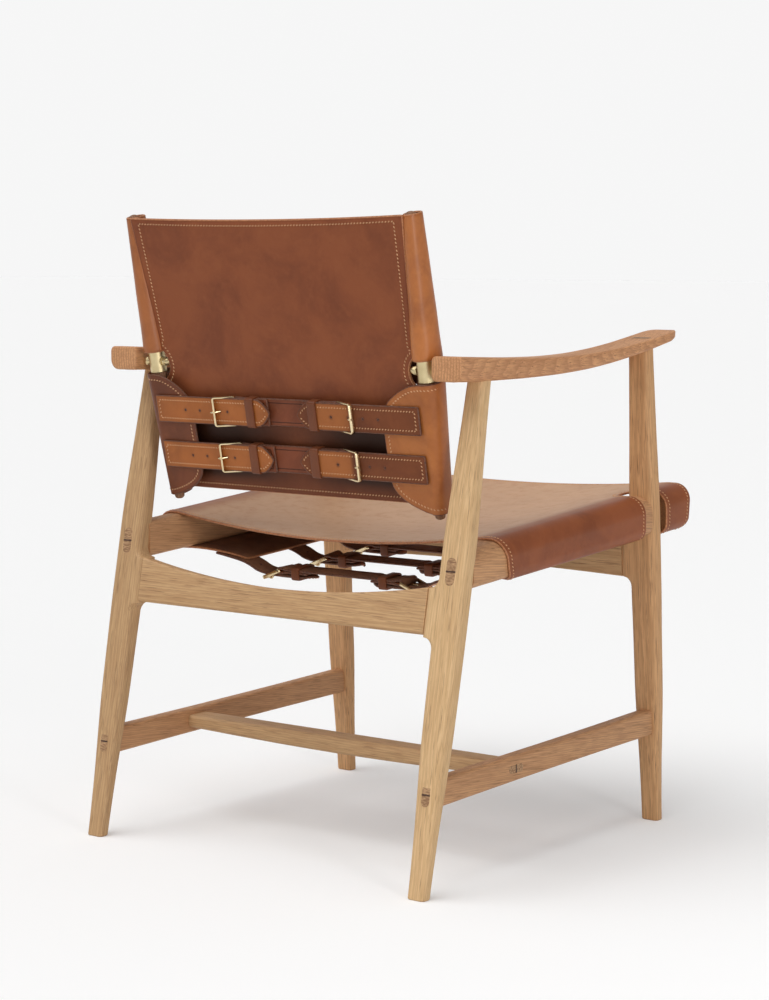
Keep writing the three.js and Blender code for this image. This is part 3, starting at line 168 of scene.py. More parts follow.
@dataclass
class Surface:
    """Points with their faces and what the finishes read from them.

    Attributes:
        points: (n, 3) places in millimetres.
        quads: (m, 4) and
        triangles: (k, 3) corners, anticlockwise from outside.
        place: (n, 3) along, across and distance from the cut edge, in millimetres.
        sides: (m + k,) 0 for the grain side, 1 for a cut edge and 2 for the flesh side.
    """

    points: Array
    quads: Array
    triangles: Array = field(default_factory=lambda: np.zeros((0, 3), int))
    place: Array | None = None
    sides: Array | None = None

    def __post_init__(self) -> None:
        """Fills what was left out."""
        if self.place is None:
            self.place = np.zeros((len(self.points), 3))
        if self.sides is None:
            self.sides = np.zeros(len(self.quads) + len(self.triangles), int)

    def moved(self, change: Callable[[Array], Array]) -> "Surface":
        """The same faces with every point changed."""
        return replace(self, points=change(self.points))

    def turned_over(self) -> "Surface":
        """The same surface with each face the other way up."""
        return replace(self, quads=self.quads[:, ::-1], triangles=self.triangles[:, ::-1])

    def mirrored(self) -> "Surface":
        """The same surface on the chair's other side, still facing out."""
        return self.moved(lambda points: points * (-1, 1, 1)).turned_over()

    @staticmethod
    def joined(parts: Sequence["Surface"]) -> "Surface":
        """Several surfaces as one."""
        starts = np.cumsum([0] + [len(p.points) for p in parts[:-1]])
        quads, triangles = [p.sides[: len(p.quads)] for p in parts], [p.sides[len(p.quads):] for p in parts]
        return Surface(
            np.concatenate([p.points for p in parts]),
            np.concatenate([p.quads + s for p, s in zip(parts, starts)]),
            np.concatenate([p.triangles + s for p, s in zip(parts, starts)]),
            np.concatenate([p.place for p in parts]),
            np.concatenate(quads + triangles),
        )


def grid_quads(rows: int, columns: int, looped: bool) -> Array:
    """Quads between neighbouring rows and columns of a grid of points, looped across or not."""
    across = columns if looped else columns - 1
    i, j = np.meshgrid(np.arange(rows - 1), np.arange(across), indexing="ij")
    k = (j + 1) % columns
    a, b = i * columns + j, i * columns + k
    return stacked(a, b, b + columns, a + columns).reshape(-1, 4)


def end_fans(rows: int, columns: int) -> Array:
    """Triangles that close a looped grid's first and last row round the two points after it."""
    around = np.arange(columns)
    turn = (around + 1) % columns
    base, tip = (rows - 1) * columns, rows * columns
    return np.concatenate([stacked(turn, around, tip), stacked(base + around, base + turn, tip + 1)])


def loft(rings: Array) -> Surface:
    """A closed solid through rings of equal count, each end closed with a fan to its middle.

    Args:
        rings: (stations, around, 3) places.

    Returns:
        The solid, facing out.
    """
    rows, columns = rings.shape[:2]
    ends = np.stack([rings[0].mean(axis=0), rings[-1].mean(axis=0)])
    points = np.concatenate([rings.reshape(-1, 3), ends])
    return faced_out(Surface(points, grid_quads(rows, columns, True), end_fans(rows, columns)))


def faced_out(made: Surface) -> Surface:
    """Turns every face of a closed surface over where its volume comes out negative."""
    a, b, c, d = (made.points[made.quads[:, k]] for k in range(4))
    volume = (a * np.cross(b, c)).sum() + (a * np.cross(c, d)).sum()
    a, b, c = (made.points[made.triangles[:, k]] for k in range(3))
    volume += (a * np.cross(b, c)).sum()
    return made if volume >= 0 else made.turned_over()


def sections(low: tuple, high: tuple, radii: object, steps: int = 6) -> Array:
    """Rounded rectangles, one for each station.

    Each corner is a quarter circle of its own radius, drawn about a centre that far in.

    Args:
        low: the low corner's two places, each a number or an array of one for each station.
        high: the high corner's two places.
        radii: one radius for all corners, or a tuple of four from the low left corner round.
        steps: parts in each quarter.

    Returns:
        (n, 4 * (steps + 1), 2) outlines.
    """
    left, foot, right, top = (np.atleast_1d(a)[:, None] for a in np.broadcast_arrays(*low, *high))
    corners = radii if isinstance(radii, tuple) else (radii,) * 4
    quarter = np.linspace(0, pi / 2, steps + 1)
    parts = []
    for radius, (x, inward, y, upward, start) in zip(corners, (
        (left, 1, foot, 1, 2), (right, -1, foot, 1, 3), (right, -1, top, -1, 0), (left, 1, top, -1, 1),
    )):
        r = np.atleast_1d(radius)[:, None]
        angle = start * pi / 2 + quarter
        parts.append(stacked(x + inward * r + r * np.cos(angle), y + upward * r + r * np.sin(angle)))
    return np.concatenate(parts, axis=1)


def outline(half_long: float, half_short: float, radius: float, steps: int = 6) -> Array:
    """One rounded rectangle about the middle, by half its length and half its breadth."""
    return sections((-half_long, -half_short), (half_long, half_short), radius, steps)[0]


def raised(flat: Array, heights: Sequence[float], scales: Sequence[float]) -> Surface:
    """A solid that draws a flat outline at each height, in the scale given for it."""
    height, scale = np.array(heights)[:, None], np.array(scales)[:, None]
    return loft(stacked(flat[:, 0] * scale, flat[:, 1] * scale, height))


def turned(profile: Sequence[Sequence[float]], sides: int = 40) -> Surface:
    """A profile of radius and height turned about the third axis."""
    radius, height = np.asarray(profile, float).T[..., None]
    angle = np.linspace(0, 2 * pi, sides, endpoint=False)
    return loft(stacked(radius * np.cos(angle), radius * np.sin(angle), height))


def basis(origin: Sequence[float], z: Sequence[float], x: Sequence[float]) -> Callable[[Array], Array]:
    """A change of place to a frame whose third axis lies along z and whose first lies near x."""
    along = unit(np.asarray(z, float))
    first = unit(np.asarray(x, float) - along * np.dot(x, along))
    axes = np.stack([first, np.cross(along, first), along])
    start = np.asarray(origin, float)
    return lambda points: start + points @ axes


def wire(path: Array, up: Sequence[float], wide: float, thick: float, closed: bool,
         square: float = 1.0) -> Surface:
    """A wire along a path, its section a rounded box given by powers of sine and cosine.

    Args:
        path: (n, 3) middle line.
        up: direction of the section's thickness.
        wide: half its width.
        thick: half its thickness.
        closed: whether the path returns to its start.
        square: power of the sine and cosine, 1 for round and less for squarer.

    Returns:
        The wire as a closed surface.
    """
    ahead = np.roll(path, -1, axis=0) - np.roll(path, 1, axis=0)
    if not closed:
        ahead[0], ahead[-1] = path[1] - path[0], path[-1] - path[-2]
    along = unit(ahead)
    side = unit(np.cross(np.broadcast_to(up, along.shape), along))
    over = np.cross(along, side)
    angle = np.linspace(0, 2 * pi, 14, endpoint=False)
    shape = stacked(np.cos(angle), np.sin(angle))
    shape = np.sign(shape) * np.abs(shape) ** square
    rings = (
        path[:, None] + side[:, None] * shape[None, :, :1] * wide + over[:, None] * shape[None, :, 1:] * thick
    )
    if not closed:
        return loft(rings)
    count, around = rings.shape[:2]
    quads = grid_quads(count + 1, around, True) % (count * around)
    return faced_out(Surface(rings.reshape(-1, 3), quads))


def trimmed(us: Array, vs: Array, inside: Wave) -> tuple[Array, Array, Array]:
    """A flat grid cut to an outline.

    Faces whose middle lies outside are dropped, and the points left on the border are moved
    down the slope of the distance until it is nought.

    Args:
        us: grid lines of the first parameter.
        vs: grid lines of the second.
        inside: distance within the outline, negative outside it.

    Returns:
        (n, 2) places, (m, 4) quads and (n,) distances from the outline.
    """
    u, v = np.meshgrid(us, vs, indexing="ij")
    flat = stacked(u.ravel(), v.ravel())
    quads = grid_quads(len(us), len(vs), False)[:, ::-1]
    middle = flat[quads].mean(axis=1)
    quads = quads[inside(middle[:, 0], middle[:, 1]) > 0]
    edge = np.unique(border(quads).ravel())
    tiny, least, most, passes = 0.05, 0.2, 9, 4
    for _ in range(passes):
        x, y = flat[edge].T
        slope = stacked(
            inside(x + tiny, y) - inside(x - tiny, y), inside(x, y + tiny) - inside(x, y - tiny),
        ) / (2 * tiny)
        steep = np.maximum((slope ** 2).sum(axis=1, keepdims=True), least)
        flat[edge] -= np.clip(inside(x, y)[:, None] * slope / steep, -most, most)
    used, index = np.unique(quads, return_inverse=True)
    flat = flat[used]
    away = np.maximum(inside(flat[:, 0], flat[:, 1]), 0)
    return flat, index.reshape(-1, 4), away


def border(quads: Array) -> Array:
    """The directed edges of quads that no other quad shares, as (k, 2) corners."""
    edges = np.concatenate([quads[:, [k, (k + 1) % 4]] for k in range(4)])
    size = int(edges.max()) + 1
    key, back = edges[:, 0] * size + edges[:, 1], edges[:, 1] * size + edges[:, 0]
    return edges[~np.isin(key, back)]


def point_normals(points: Array, quads: Array) -> Array:
    """The mean direction in which the quads round each point face."""
    a, b, c, d = (points[quads[:, k]] for k in range(4))
    facing = np.cross(c - a, d - b)
    total = np.zeros_like(points)
    for k in range(4):
        np.add.at(total, quads[:, k], facing)
    return unit(total)


def thickened(points: Array, quads: Array, place: Array, thickness: float, bulge: float = 0.42) -> Surface:
    """Leather of a thickness about a middle surface, its cut edges rounded.

    The grain side lies half the thickness along each point's normal and the flesh side half
    against it. Along the border a half ellipse joins the two, bulging outwards in the surface.

    Args:
        points: (n, 3) middle surface.
        quads: (m, 4) its faces, facing the grain side.
        place: (n, 3) along, across and distance from the edge.
        thickness: the leather's thickness.
        bulge: how far the edge swells, as a share of the thickness.

    Returns:
        A closed surface with its sides marked.
    """
    normal = point_normals(points, quads)
    half = thickness / 2
    count = len(points)
    edges = border(quads)
    rim, index = np.unique(edges, return_inverse=True)
    start, end = index.reshape(-1, 2).T
    step = points[edges[:, 1]] - points[edges[:, 0]]
    away = unit(np.cross(step, normal[edges[:, 0]] + normal[edges[:, 1]]))
    out = np.zeros((len(rim), 3))
    for corner in (start, end):
        np.add.at(out, corner, away)
    out = unit(out)
    turns = np.linspace(0, pi, 6)[1:-1, None, None]
    rows = points[rim] + normal[rim] * half * np.cos(turns) + out * bulge * thickness * np.sin(turns)
    between = count * 2 + np.arange(len(turns))[:, None] * len(rim) + np.arange(len(rim))
    ids = np.concatenate([rim[None], between, rim[None] + count])
    sides = stacked(ids[:-1][:, end], ids[:-1][:, start], ids[1:][:, start], ids[1:][:, end])
    faces = np.concatenate([quads, quads[:, ::-1] + count, sides.reshape(-1, 4)])
    return Surface(
        np.concatenate([points + normal * half, points - normal * half, rows.reshape(-1, 3)]), faces,
        place=np.concatenate([place, place, np.tile(place[rim], (len(turns), 1))]),
        sides=np.repeat([0, 2, 1], [len(quads), len(quads), len(faces) - 2 * len(quads)]),
    )


@dataclass(frozen=True)
class Thread:
    """Waxed thread sewn at an even pitch.

    Attributes:
        pitch: distance from stitch to stitch.
        share: how much of the pitch a stitch covers.
        radius: half a stitch's breadth.
        slant: turn of each stitch in the leather's plane.
        sunk: how deep a stitch's middle lies in the leather.
        lens: shares of its half length at which its rings lie.
        sides: points in each ring.
    """

    pitch: float = 4.8
    share: float = 0.66
    radius: float = 0.84
    slant: float = 0.55
    sunk: float = 0.08
    lens: tuple[float, ...] = (-0.82, -0.3, 0.3, 0.82)
    sides: int = 6

    def sewn(self, path: Array, normal: Array) -> Surface:
        """Stitches along a line on leather.

        Each stitch is a lens: its radius follows the root of one less the square of the place
        along it, and it lies turned a little in the leather's plane, half sunk.

        Args:
            path: (n, 3) line on the leather's face.
            normal: (n, 3) the face's direction there.

        Returns:
            All the stitches as one surface.
        """
        gone = gone_along(path)
        count = max(1, int(gone[-1] / self.pitch))
        size = gone[-1] / count
        at = (np.arange(count) + 0.5) * size
        middle, up = read_columns(at, gone, path), unit(read_columns(at, gone, normal))
        along = unit(read_columns(at + size / 3, gone, path) - read_columns(at - size / 3, gone, path))
        along = unit(along * cos(self.slant) + np.cross(up, along) * sin(self.slant))
        across = np.cross(up, along)
        t = np.array(self.lens)
        angle = np.linspace(0, 2 * pi, self.sides, endpoint=False)
        wide = (self.radius * np.sqrt(1 - t ** 2))[:, None]
        reach = t * size * self.share / 2
        rings = (
            middle[:, None, None] + along[:, None, None] * reach[None, :, None, None]
            + across[:, None, None] * (wide * np.cos(angle))[None, :, :, None]
            + up[:, None, None] * (wide * np.sin(angle) - self.sunk)[None, :, :, None]
        ).reshape(count, -1, 3)
        ends = np.array([-1, 1]) * size * self.share / 2
        tips = middle[:, None] + along[:, None] * ends[None, :, None]
        points = np.concatenate([rings, tips], axis=1)
        shift = (np.arange(count) * points.shape[1])[:, None, None]
        quads, fans = grid_quads(len(t), self.sides, True), end_fans(len(t), self.sides)
        return faced_out(Surface(
            points.reshape(-1, 3), (quads + shift).reshape(-1, 4), (fans + shift).reshape(-1, 3),
        ))


def on_surface(surface: Wave, line: Array) -> tuple[Array, Array]:
    """Points every 2 mm along a line of two parameters of a surface, and the normals there."""
    u, v = spaced(line, 2.0).T
    here, tiny = surface(u, v), 0.4
    return here, unit(np.cross(surface(u + tiny, v) - here, surface(u, v + tiny) - here))


# Materials


def linear(tone: Tone) -> tuple[float, float, float, float]:
    """A screen colour of 0 to 255 as the linear colour that a shader takes."""
    parts = [c / 255 for c in tone]
    return (*[c / 12.92 if c <= 0.04045 else ((c + 0.055) / 1.055) ** 2.4 for c in parts], 1.0)


def darker(tone: Tone, share: float) -> Tone:
    """A screen colour with each part brought down to a share."""
    return tuple(int(c * share) for c in tone)


class Network:
    """The nodes of a material or a world, added a step at a time."""

    def __init__(self, tree: bpy.types.NodeTree) -> None:
        """Works on a node tree."""
        self.tree = tree

    def put(self, socket: Socket, value: object) -> None:
        """Links a socket to another, or sets it to a constant."""
        if isinstance(value, Socket):
            self.tree.links.new(value, socket)
        else:
            socket.default_value = value

    def node(self, kind: str, settings: dict | None = None, **sockets: object) -> bpy.types.Node:
        """Adds a node, its settings by name and its inputs by their words joined with underscores."""
        made = self.tree.nodes.new(f"ShaderNode{kind}")
        for key, value in (settings or {}).items():
            setattr(made, key, value)
        for key, value in sockets.items():
            self.put(made.inputs[key.replace("_", " ")], value)
        return made

    def maths(self, operation: str, *values: object) -> Socket:
        """One arithmetic step."""
        made = self.node("Math", {"operation": operation})
        for socket, value in zip(made.inputs, values):
            self.put(socket, value)
        return made.outputs[0]

    def times(self, first: object, *others: object) -> Socket:
        """The product of several values."""
        for other in others:
            first = self.maths("MULTIPLY", first, other)
        return first


class Recipe(Network):
    """One material's nodes about a principled shader."""

    def __init__(self, name: str) -> None:
        """Starts a material with an empty principled shader."""
        self.material = bpy.data.materials.new(name)
        self.material.use_nodes = True
        super().__init__(self.material.node_tree)
        self.tree.nodes.clear()
        self.shader = self.node("BsdfPrincipled")
        self.put(self.node("OutputMaterial").inputs[0], self.shader.outputs[0])

    def object_place(self, scale: Sequence[float] = (1, 1, 1)) -> Socket:
        """Places on the piece in metres, stretched by a scale on each axis."""
        return self.node("Mapping", Vector=self.node("TexCoord").outputs["Object"], Scale=scale).outputs[0]

    def board_place(self, paired: bool, lean: float, pith: Sequence[float], veer: float) -> Socket:
        """Places in a board, measured from its pith in metres, its grain laid along an axis.

        Args:
            paired: whether the board has a twin on the chair's other side, which mirrors it.
            lean: turn about the chair's width.
            pith: place of the pith once turned.
            veer: turn about the upright, the way that a board was sawn askew to its rings.

        Returns:
            The places.
        """
        source = self.node("TexCoord").outputs["Object"]
        if paired:
            x, y, z = self.node("SeparateXYZ", Vector=source).outputs
            source = self.node("CombineXYZ", X=self.maths("ABSOLUTE", x), Y=y, Z=z).outputs[0]
        back = tuple(-p for p in pith)
        return self.node("Mapping", Vector=source, Rotation=(lean, 0, veer), Location=back).outputs[0]

    def leather_place(self) -> Sequence[Socket]:
        """Along, across and distance from the cut edge, in millimetres."""
        source = self.node("Attribute", {"attribute_name": "place"}).outputs["Vector"]
        return self.node("SeparateXYZ", Vector=source).outputs

    def noise(self, place: object, scale: float, detail: float = 3, rough: float = 0.55,
              bend: float = 0) -> Socket:
        """Smooth noise between nought and one."""
        return self.node(
            "TexNoise", Vector=place, Scale=scale, Detail=detail, Roughness=rough, Distortion=bend,
        ).outputs[0]

    def ramp(self, value: object, *stops: tuple[float, float]) -> Socket:
        """A grey read along stops of position and value."""
        made = self.node("ValToRGB", Fac=value)
        bar = made.color_ramp
        while len(bar.elements) < len(stops):
            bar.elements.new(0.5)
        for element, (position, grey) in zip(bar.elements, stops):
            element.position = position
            element.color = (grey, grey, grey, 1)
        return made.outputs[0]

    def mixed(self, share: object, low: Socket | Tone, high: Socket | Tone) -> Socket:
        """Two colours mixed by a share."""
        made = self.node("Mix", {"data_type": "RGBA"})
        self.put(made.inputs[0], share)
        for socket, value in ((made.inputs[6], low), (made.inputs[7], high)):
            self.put(socket, linear(value) if isinstance(value, tuple) else value)
        return made.outputs[2]

    def veiled(self, under: Socket | Tone, over: Socket | Tone, value: Socket,
               *stops: tuple[float, float]) -> Socket:
        """A colour laid over another, as strongly as a value says when it is read along stops."""
        return self.mixed(self.ramp(value, *stops), under, over)

    def rise(self, value: object, start: float, stop: float) -> Socket:
        """Nought before one value and one after the other, in either order."""
        smooth = {"interpolation_type": "SMOOTHSTEP"}
        return self.node("MapRange", smooth, Value=value, From_Min=start, From_Max=stop).outputs[0]

    def line(self, value: object, start: float, stop: float, low: float, high: float) -> Socket:
        """One value at the start and another at the stop, straight between them."""
        return self.node(
            "MapRange", Value=value, From_Min=start, From_Max=stop, To_Min=low, To_Max=high,
        ).outputs[0]

    def relief(self, height: object, strength: float, depth: float) -> Socket:
        """A bump from a height between nought and one, its depth in metres."""
        return self.node("Bump", Height=height, Strength=strength, Distance=depth).outputs[0]

    def finish(self, **sockets: object) -> None:
        """Sets the principled shader's inputs."""
        for key, value in sockets.items():
            self.put(self.shader.inputs[key.replace("_", " ")], value)


@dataclass(frozen=True)
class Finish:
    """How one kind of surface looks.

    Attributes:
        name: the material's name.
        slot: the record's slot that it comes from, if any.
    """

    name: str
    slot: Slot | None = field(default=None, kw_only=True)

    def look(self, recipe: Recipe) -> None:
        """Adds the finish's nodes."""

    def material(self) -> bpy.types.Material:
        """The finish as a material."""
        recipe = Recipe(self.name)
        self.look(recipe)
        return recipe.material


@dataclass(frozen=True)
class Oak(Finish):
    """Oiled oak: growth rings about a pith, dark open pores and a satin surface.

    Attributes:
        grain: the axis along which the board runs.
        pith: place of the pith in metres, in the board's own turned frame.
        lean: turn about the chair's width that lays a raked board along its axis.
        light, dark, pore: colours of the early wood, the late wood and the pores.
        spacing: distance between two rings in metres.
        marked: how strongly the late wood darkens each ring.
        veer: turn about the upright between the board and its rings.
        pored: how strongly the pores show.
        wander: how far the rings stray from circles.
    """

    grain: Grain
    pith: tuple[float, float, float]
    lean: float = 0.0
    light: Tone = (210, 173, 128)
    dark: Tone = (178, 137, 95)
    pore: Tone = (134, 96, 64)
    spacing: float = 0.0026
    marked: float = 0.6
    veer: float = 0.0
    pored: float = 1.0
    wander: float = 4.2
    slot: Slot | None = field(default=Slot.OAK, kw_only=True)

    def drawn_out(self, recipe: Recipe, place: Socket, share: float) -> Socket:
        """Places whose pattern is drawn out along the grain."""
        scale = [1.0, 1.0, 1.0]
        scale[self.grain.value] = share
        return recipe.node("Mapping", Vector=place, Scale=scale).outputs[0]

    def look(self, recipe: Recipe) -> None:
        """Rings round the pith, fibres and pores along the board."""
        board = recipe.board_place(self.grain is not Grain.ACROSS, self.lean, self.pith, self.veer)
        place = self.drawn_out(recipe, board, 0.06)
        rings = recipe.node(
            "TexWave",
            {"wave_type": "RINGS", "rings_direction": "XYZ"[self.grain.value], "wave_profile": "SAW"},
            Vector=place, Scale=0.314 / self.spacing, Distortion=self.wander, Detail=2.0, Detail_Scale=0.25,
            Detail_Roughness=0.6,
        ).outputs["Fac"]
        broad = recipe.noise(place, 26, 2, 0.5, 0.5)
        fibres = recipe.noise(place, 420, 3, 0.6, 0.2)
        fine = recipe.noise(self.drawn_out(recipe, board, 0.028), 880, 2, 0.6)
        pores = recipe.ramp(fine, (0.34, 1.0), (0.45, 0.0))
        tone = recipe.veiled(self.light, self.dark, rings, (0.3, 0.0), (0.92, self.marked), (0.99, 0.1))
        tone = recipe.veiled(tone, self.dark, broad, (0.3, 0.0), (0.75, 0.45))
        tone = recipe.veiled(tone, self.dark, fibres, (0.38, 0.6), (0.56, 0.0))
        early = recipe.ramp(rings, (0.0, 1.0), (0.4, 0.5), (0.9, 0.25))
        tone = recipe.mixed(recipe.times(pores, early, self.pored), tone, self.pore)
        height = recipe.maths("SUBTRACT", fibres, recipe.times(pores, 0.8))
        recipe.finish(
            Base_Color=tone, Roughness=recipe.ramp(broad, (0.2, 0.5), (0.8, 0.64)), Specular_IOR_Level=0.35,
            Normal=recipe.relief(height, 0.3, 0.0005),
        )


@dataclass(frozen=True)
class EndGrain(Finish):
    """Oak cut across its fibres, as on a tenon's end: darker, with fine bars and specks."""

    light: Tone
    dark: Tone

    def look(self, recipe: Recipe) -> None:
        """Bars across the end and specks over them."""
        bars = recipe.noise(recipe.object_place((0.25, 1, 1)), 620, 2, 0.5)
        specks = recipe.noise(recipe.object_place(), 1500, 2, 0.6)
        tone = recipe.veiled(self.light, self.dark, bars, (0.35, 0.0), (0.62, 1.0))
        tone = recipe.veiled(tone, self.dark, specks, (0.58, 0.0), (0.7, 0.5))
        recipe.finish(Base_Color=tone, Roughness=0.62, Normal=recipe.relief(bars, 0.3, 0.0004))


@dataclass(frozen=True)
class Shade:
    """Painted shade on the back's panel: over the part behind its straps and over its foot, where their
    shadow falls.

    Each pair is where its fade begins and ends in millimetres, outwards from the middle or up
    the back from the pivot. The share of a colour that a dark place keeps follows.
    """

    out: tuple[float, float] = (-60, 110)
    top: tuple[float, float] = (-46, -86)
    low: tuple[float, float] = (-170, -146)
    kept: float = 0.34
    cover: float = 0.92
    foot: tuple[float, float] = (-140, -172)
    foot_kept: float = 0.72
    foot_cover: float = 0.5

    def over(self, recipe: Recipe, colour: Socket, deep: Tone, along: Socket, across: Socket) -> Socket:
        """A leather's colour with painted shade over the part behind the straps and over the panel's foot."""
        foot = recipe.times(recipe.rise(across, *self.foot), self.foot_cover)
        colour = recipe.mixed(foot, colour, darker(deep, self.foot_kept))
        out = recipe.rise(recipe.maths("ABSOLUTE", along), *self.out)
        band = recipe.times(recipe.rise(across, *self.top), recipe.rise(across, *self.low))
        return recipe.mixed(recipe.times(out, band, self.cover), colour, darker(deep, self.kept))


@dataclass(frozen=True)
class Hide(Finish):
    """The grain side of vegetable tanned leather: mottled, lightly scuffed, darker at its edge.

    Attributes:
        tone, deep, pale: its main colour, its darker clouds and its rubbed spots.
        roughness: how matt its wax is.
        shine: how strongly its wax mirrors.
        crease_at: distance from the cut edge of a creased line in millimetres, nought for none.
        painted_light: colour of a length with painted light on it, a painted sheen or a lit patch.
        painted_light_span: where along the piece that length starts and ends, in millimetres.
        fade: how far it takes to fade out.
        painted_shade: painted shade behind the straps and at the foot, on the back's panel alone.
    """

    tone: Tone
    deep: Tone
    pale: Tone
    roughness: float = 0.42
    shine: float = 0.3
    crease_at: float = 0.0
    painted_light: Tone | None = None
    painted_light_span: tuple[float, float] = (30.0, 84.0)
    fade: float = 4.0
    painted_shade: Shade | None = None
    slot: Slot | None = field(default=Slot.STRAP, kw_only=True)

    def polished(self, recipe: Recipe, colour: Socket, clouds: Socket, along: Socket) -> Socket:
        """The leather's colour with its painted light laid over a length of it."""
        gone = recipe.maths("ABSOLUTE", along)
        start, stop = self.painted_light_span
        near = recipe.times(
            recipe.rise(gone, start - self.fade, start + self.fade),
            recipe.rise(gone, stop + self.fade, stop - self.fade),
        )
        return recipe.mixed(near, colour, recipe.mixed(recipe.times(clouds, 0.16), self.painted_light, self.deep))

    def look(self, recipe: Recipe) -> None:
        """Clouds, rubbed spots and scuffs, and an edge and a crease read from the leather's own places."""
        place = recipe.object_place()
        clouds = recipe.ramp(recipe.noise(place, 13, 5, 0.62, 0.5), (0.34, 0.75), (0.6, 0.0))
        mottle = recipe.noise(place, 70, 4, 0.62)
        scuff = recipe.noise(recipe.object_place((1, 1, 0.12)), 160, 3, 0.6, 0.5)
        along, across, rim = recipe.leather_place()
        colour = recipe.mixed(clouds, self.tone, self.deep)
        # Painted light: a lighter length stands in for a sheen or for light that the piece catches.
        if self.painted_light:
            colour = self.polished(recipe, colour, clouds, along)
        colour = recipe.veiled(colour, self.pale, mottle, (0.5, 0.0), (0.85, 0.45))
        colour = recipe.veiled(colour, self.deep, scuff, (0.62, 0.0), (0.78, 0.16))
        colour = recipe.mixed(recipe.line(rim, 0.0, 2.6, 0.5, 0.0), colour, self.deep)
        # Painted shade: the panel is darkened behind its straps and at its foot, where their shadow falls.
        if self.painted_shade:
            colour = self.painted_shade.over(recipe, colour, self.deep, along, across)
        pores = recipe.noise(place, 1300, 2, 0.5)
        height = recipe.maths("ADD", recipe.times(pores, 0.35), recipe.times(mottle, 0.8))
        if self.crease_at:
            off = recipe.maths("ABSOLUTE", recipe.maths("SUBTRACT", rim, self.crease_at))
            crease = recipe.line(off, 0.25, 0.9, 1.0, 0.0)
            colour = recipe.mixed(recipe.times(crease, 0.85), colour, darker(self.deep, 0.42))
            height = recipe.maths("SUBTRACT", height, recipe.times(crease, 2.0))
        recipe.finish(
            Base_Color=colour, Specular_IOR_Level=self.shine, Normal=recipe.relief(height, 0.3, 0.0005),
            Roughness=recipe.line(mottle, 0.0, 1.0, self.roughness - 0.05, self.roughness + 0.09),
        )


@dataclass(frozen=True)
class CutEdge(Finish):
    """A burnished cut edge: one brown with fine fibres."""

    tone: Tone = (122, 72, 46)
    deep: Tone = (74, 42, 28)

    def look(self, recipe: Recipe) -> None:
        """Fibres in two browns."""
        fibres = recipe.noise(recipe.object_place(), 420, 3, 0.6)
        tone = recipe.veiled(self.deep, self.tone, fibres, (0.35, 0.0), (0.65, 1.0))
        recipe.finish(Base_Color=tone, Roughness=0.5, Normal=recipe.relief(fibres, 0.3, 0.0003))


@dataclass(frozen=True)
class Flesh(Finish):
    """The flesh side of leather: brown, matt and napped."""

    tone: Tone = (158, 110, 78)
    deep: Tone = (118, 78, 54)

    def look(self, recipe: Recipe) -> None:
        """Soft clouds under a nap."""
        nap = recipe.noise(recipe.object_place(), 900, 4, 0.7)
        cloud = recipe.noise(recipe.object_place(), 26, 3, 0.6)
        tone = recipe.veiled(self.deep, self.tone, cloud, (0.3, 0.0), (0.7, 1.0))
        tone = recipe.veiled(tone, self.deep, nap, (0.4, 0.0), (0.7, 0.35))
        recipe.finish(Base_Color=tone, Roughness=0.86, Normal=recipe.relief(nap, 0.6, 0.0006))


@dataclass(frozen=True)
class Waxed(Finish):
    """Waxed linen thread."""

    tone: Tone = (236, 180, 130)

    def look(self, recipe: Recipe) -> None:
        """A fine twist."""
        twist = recipe.noise(recipe.object_place(), 1400, 2, 0.6)
        tone = recipe.veiled(darker(self.tone, 0.78), self.tone, twist, (0.4, 0.0), (0.65, 1.0))
        recipe.finish(Base_Color=tone, Roughness=0.55, Normal=recipe.relief(twist, 0.4, 0.0003))


@dataclass(frozen=True)
class Brass(Finish):
    """Satin brass with fine brushing and a little tarnish."""

    tone: Tone = (222, 204, 160)
    deep: Tone = (188, 166, 120)
    roughness: float = 0.4
    slot: Slot | None = field(default=Slot.BRASS, kw_only=True)

    def look(self, recipe: Recipe) -> None:
        """Brush marks in its gloss and tarnish in its colour."""
        brush = recipe.noise(recipe.object_place((0.04, 1, 1)), 2400, 2, 0.6)
        tarnish = recipe.noise(recipe.object_place(), 60, 2, 0.5)
        recipe.finish(
            Base_Color=recipe.veiled(self.tone, self.deep, tarnish, (0.42, 0.0), (0.72, 0.5)), Metallic=1.0,
            Roughness=recipe.line(brush, 0.0, 1.0, self.roughness - 0.04, self.roughness + 0.05),
            Normal=recipe.relief(brush, 0.05, 0.0001),
        )


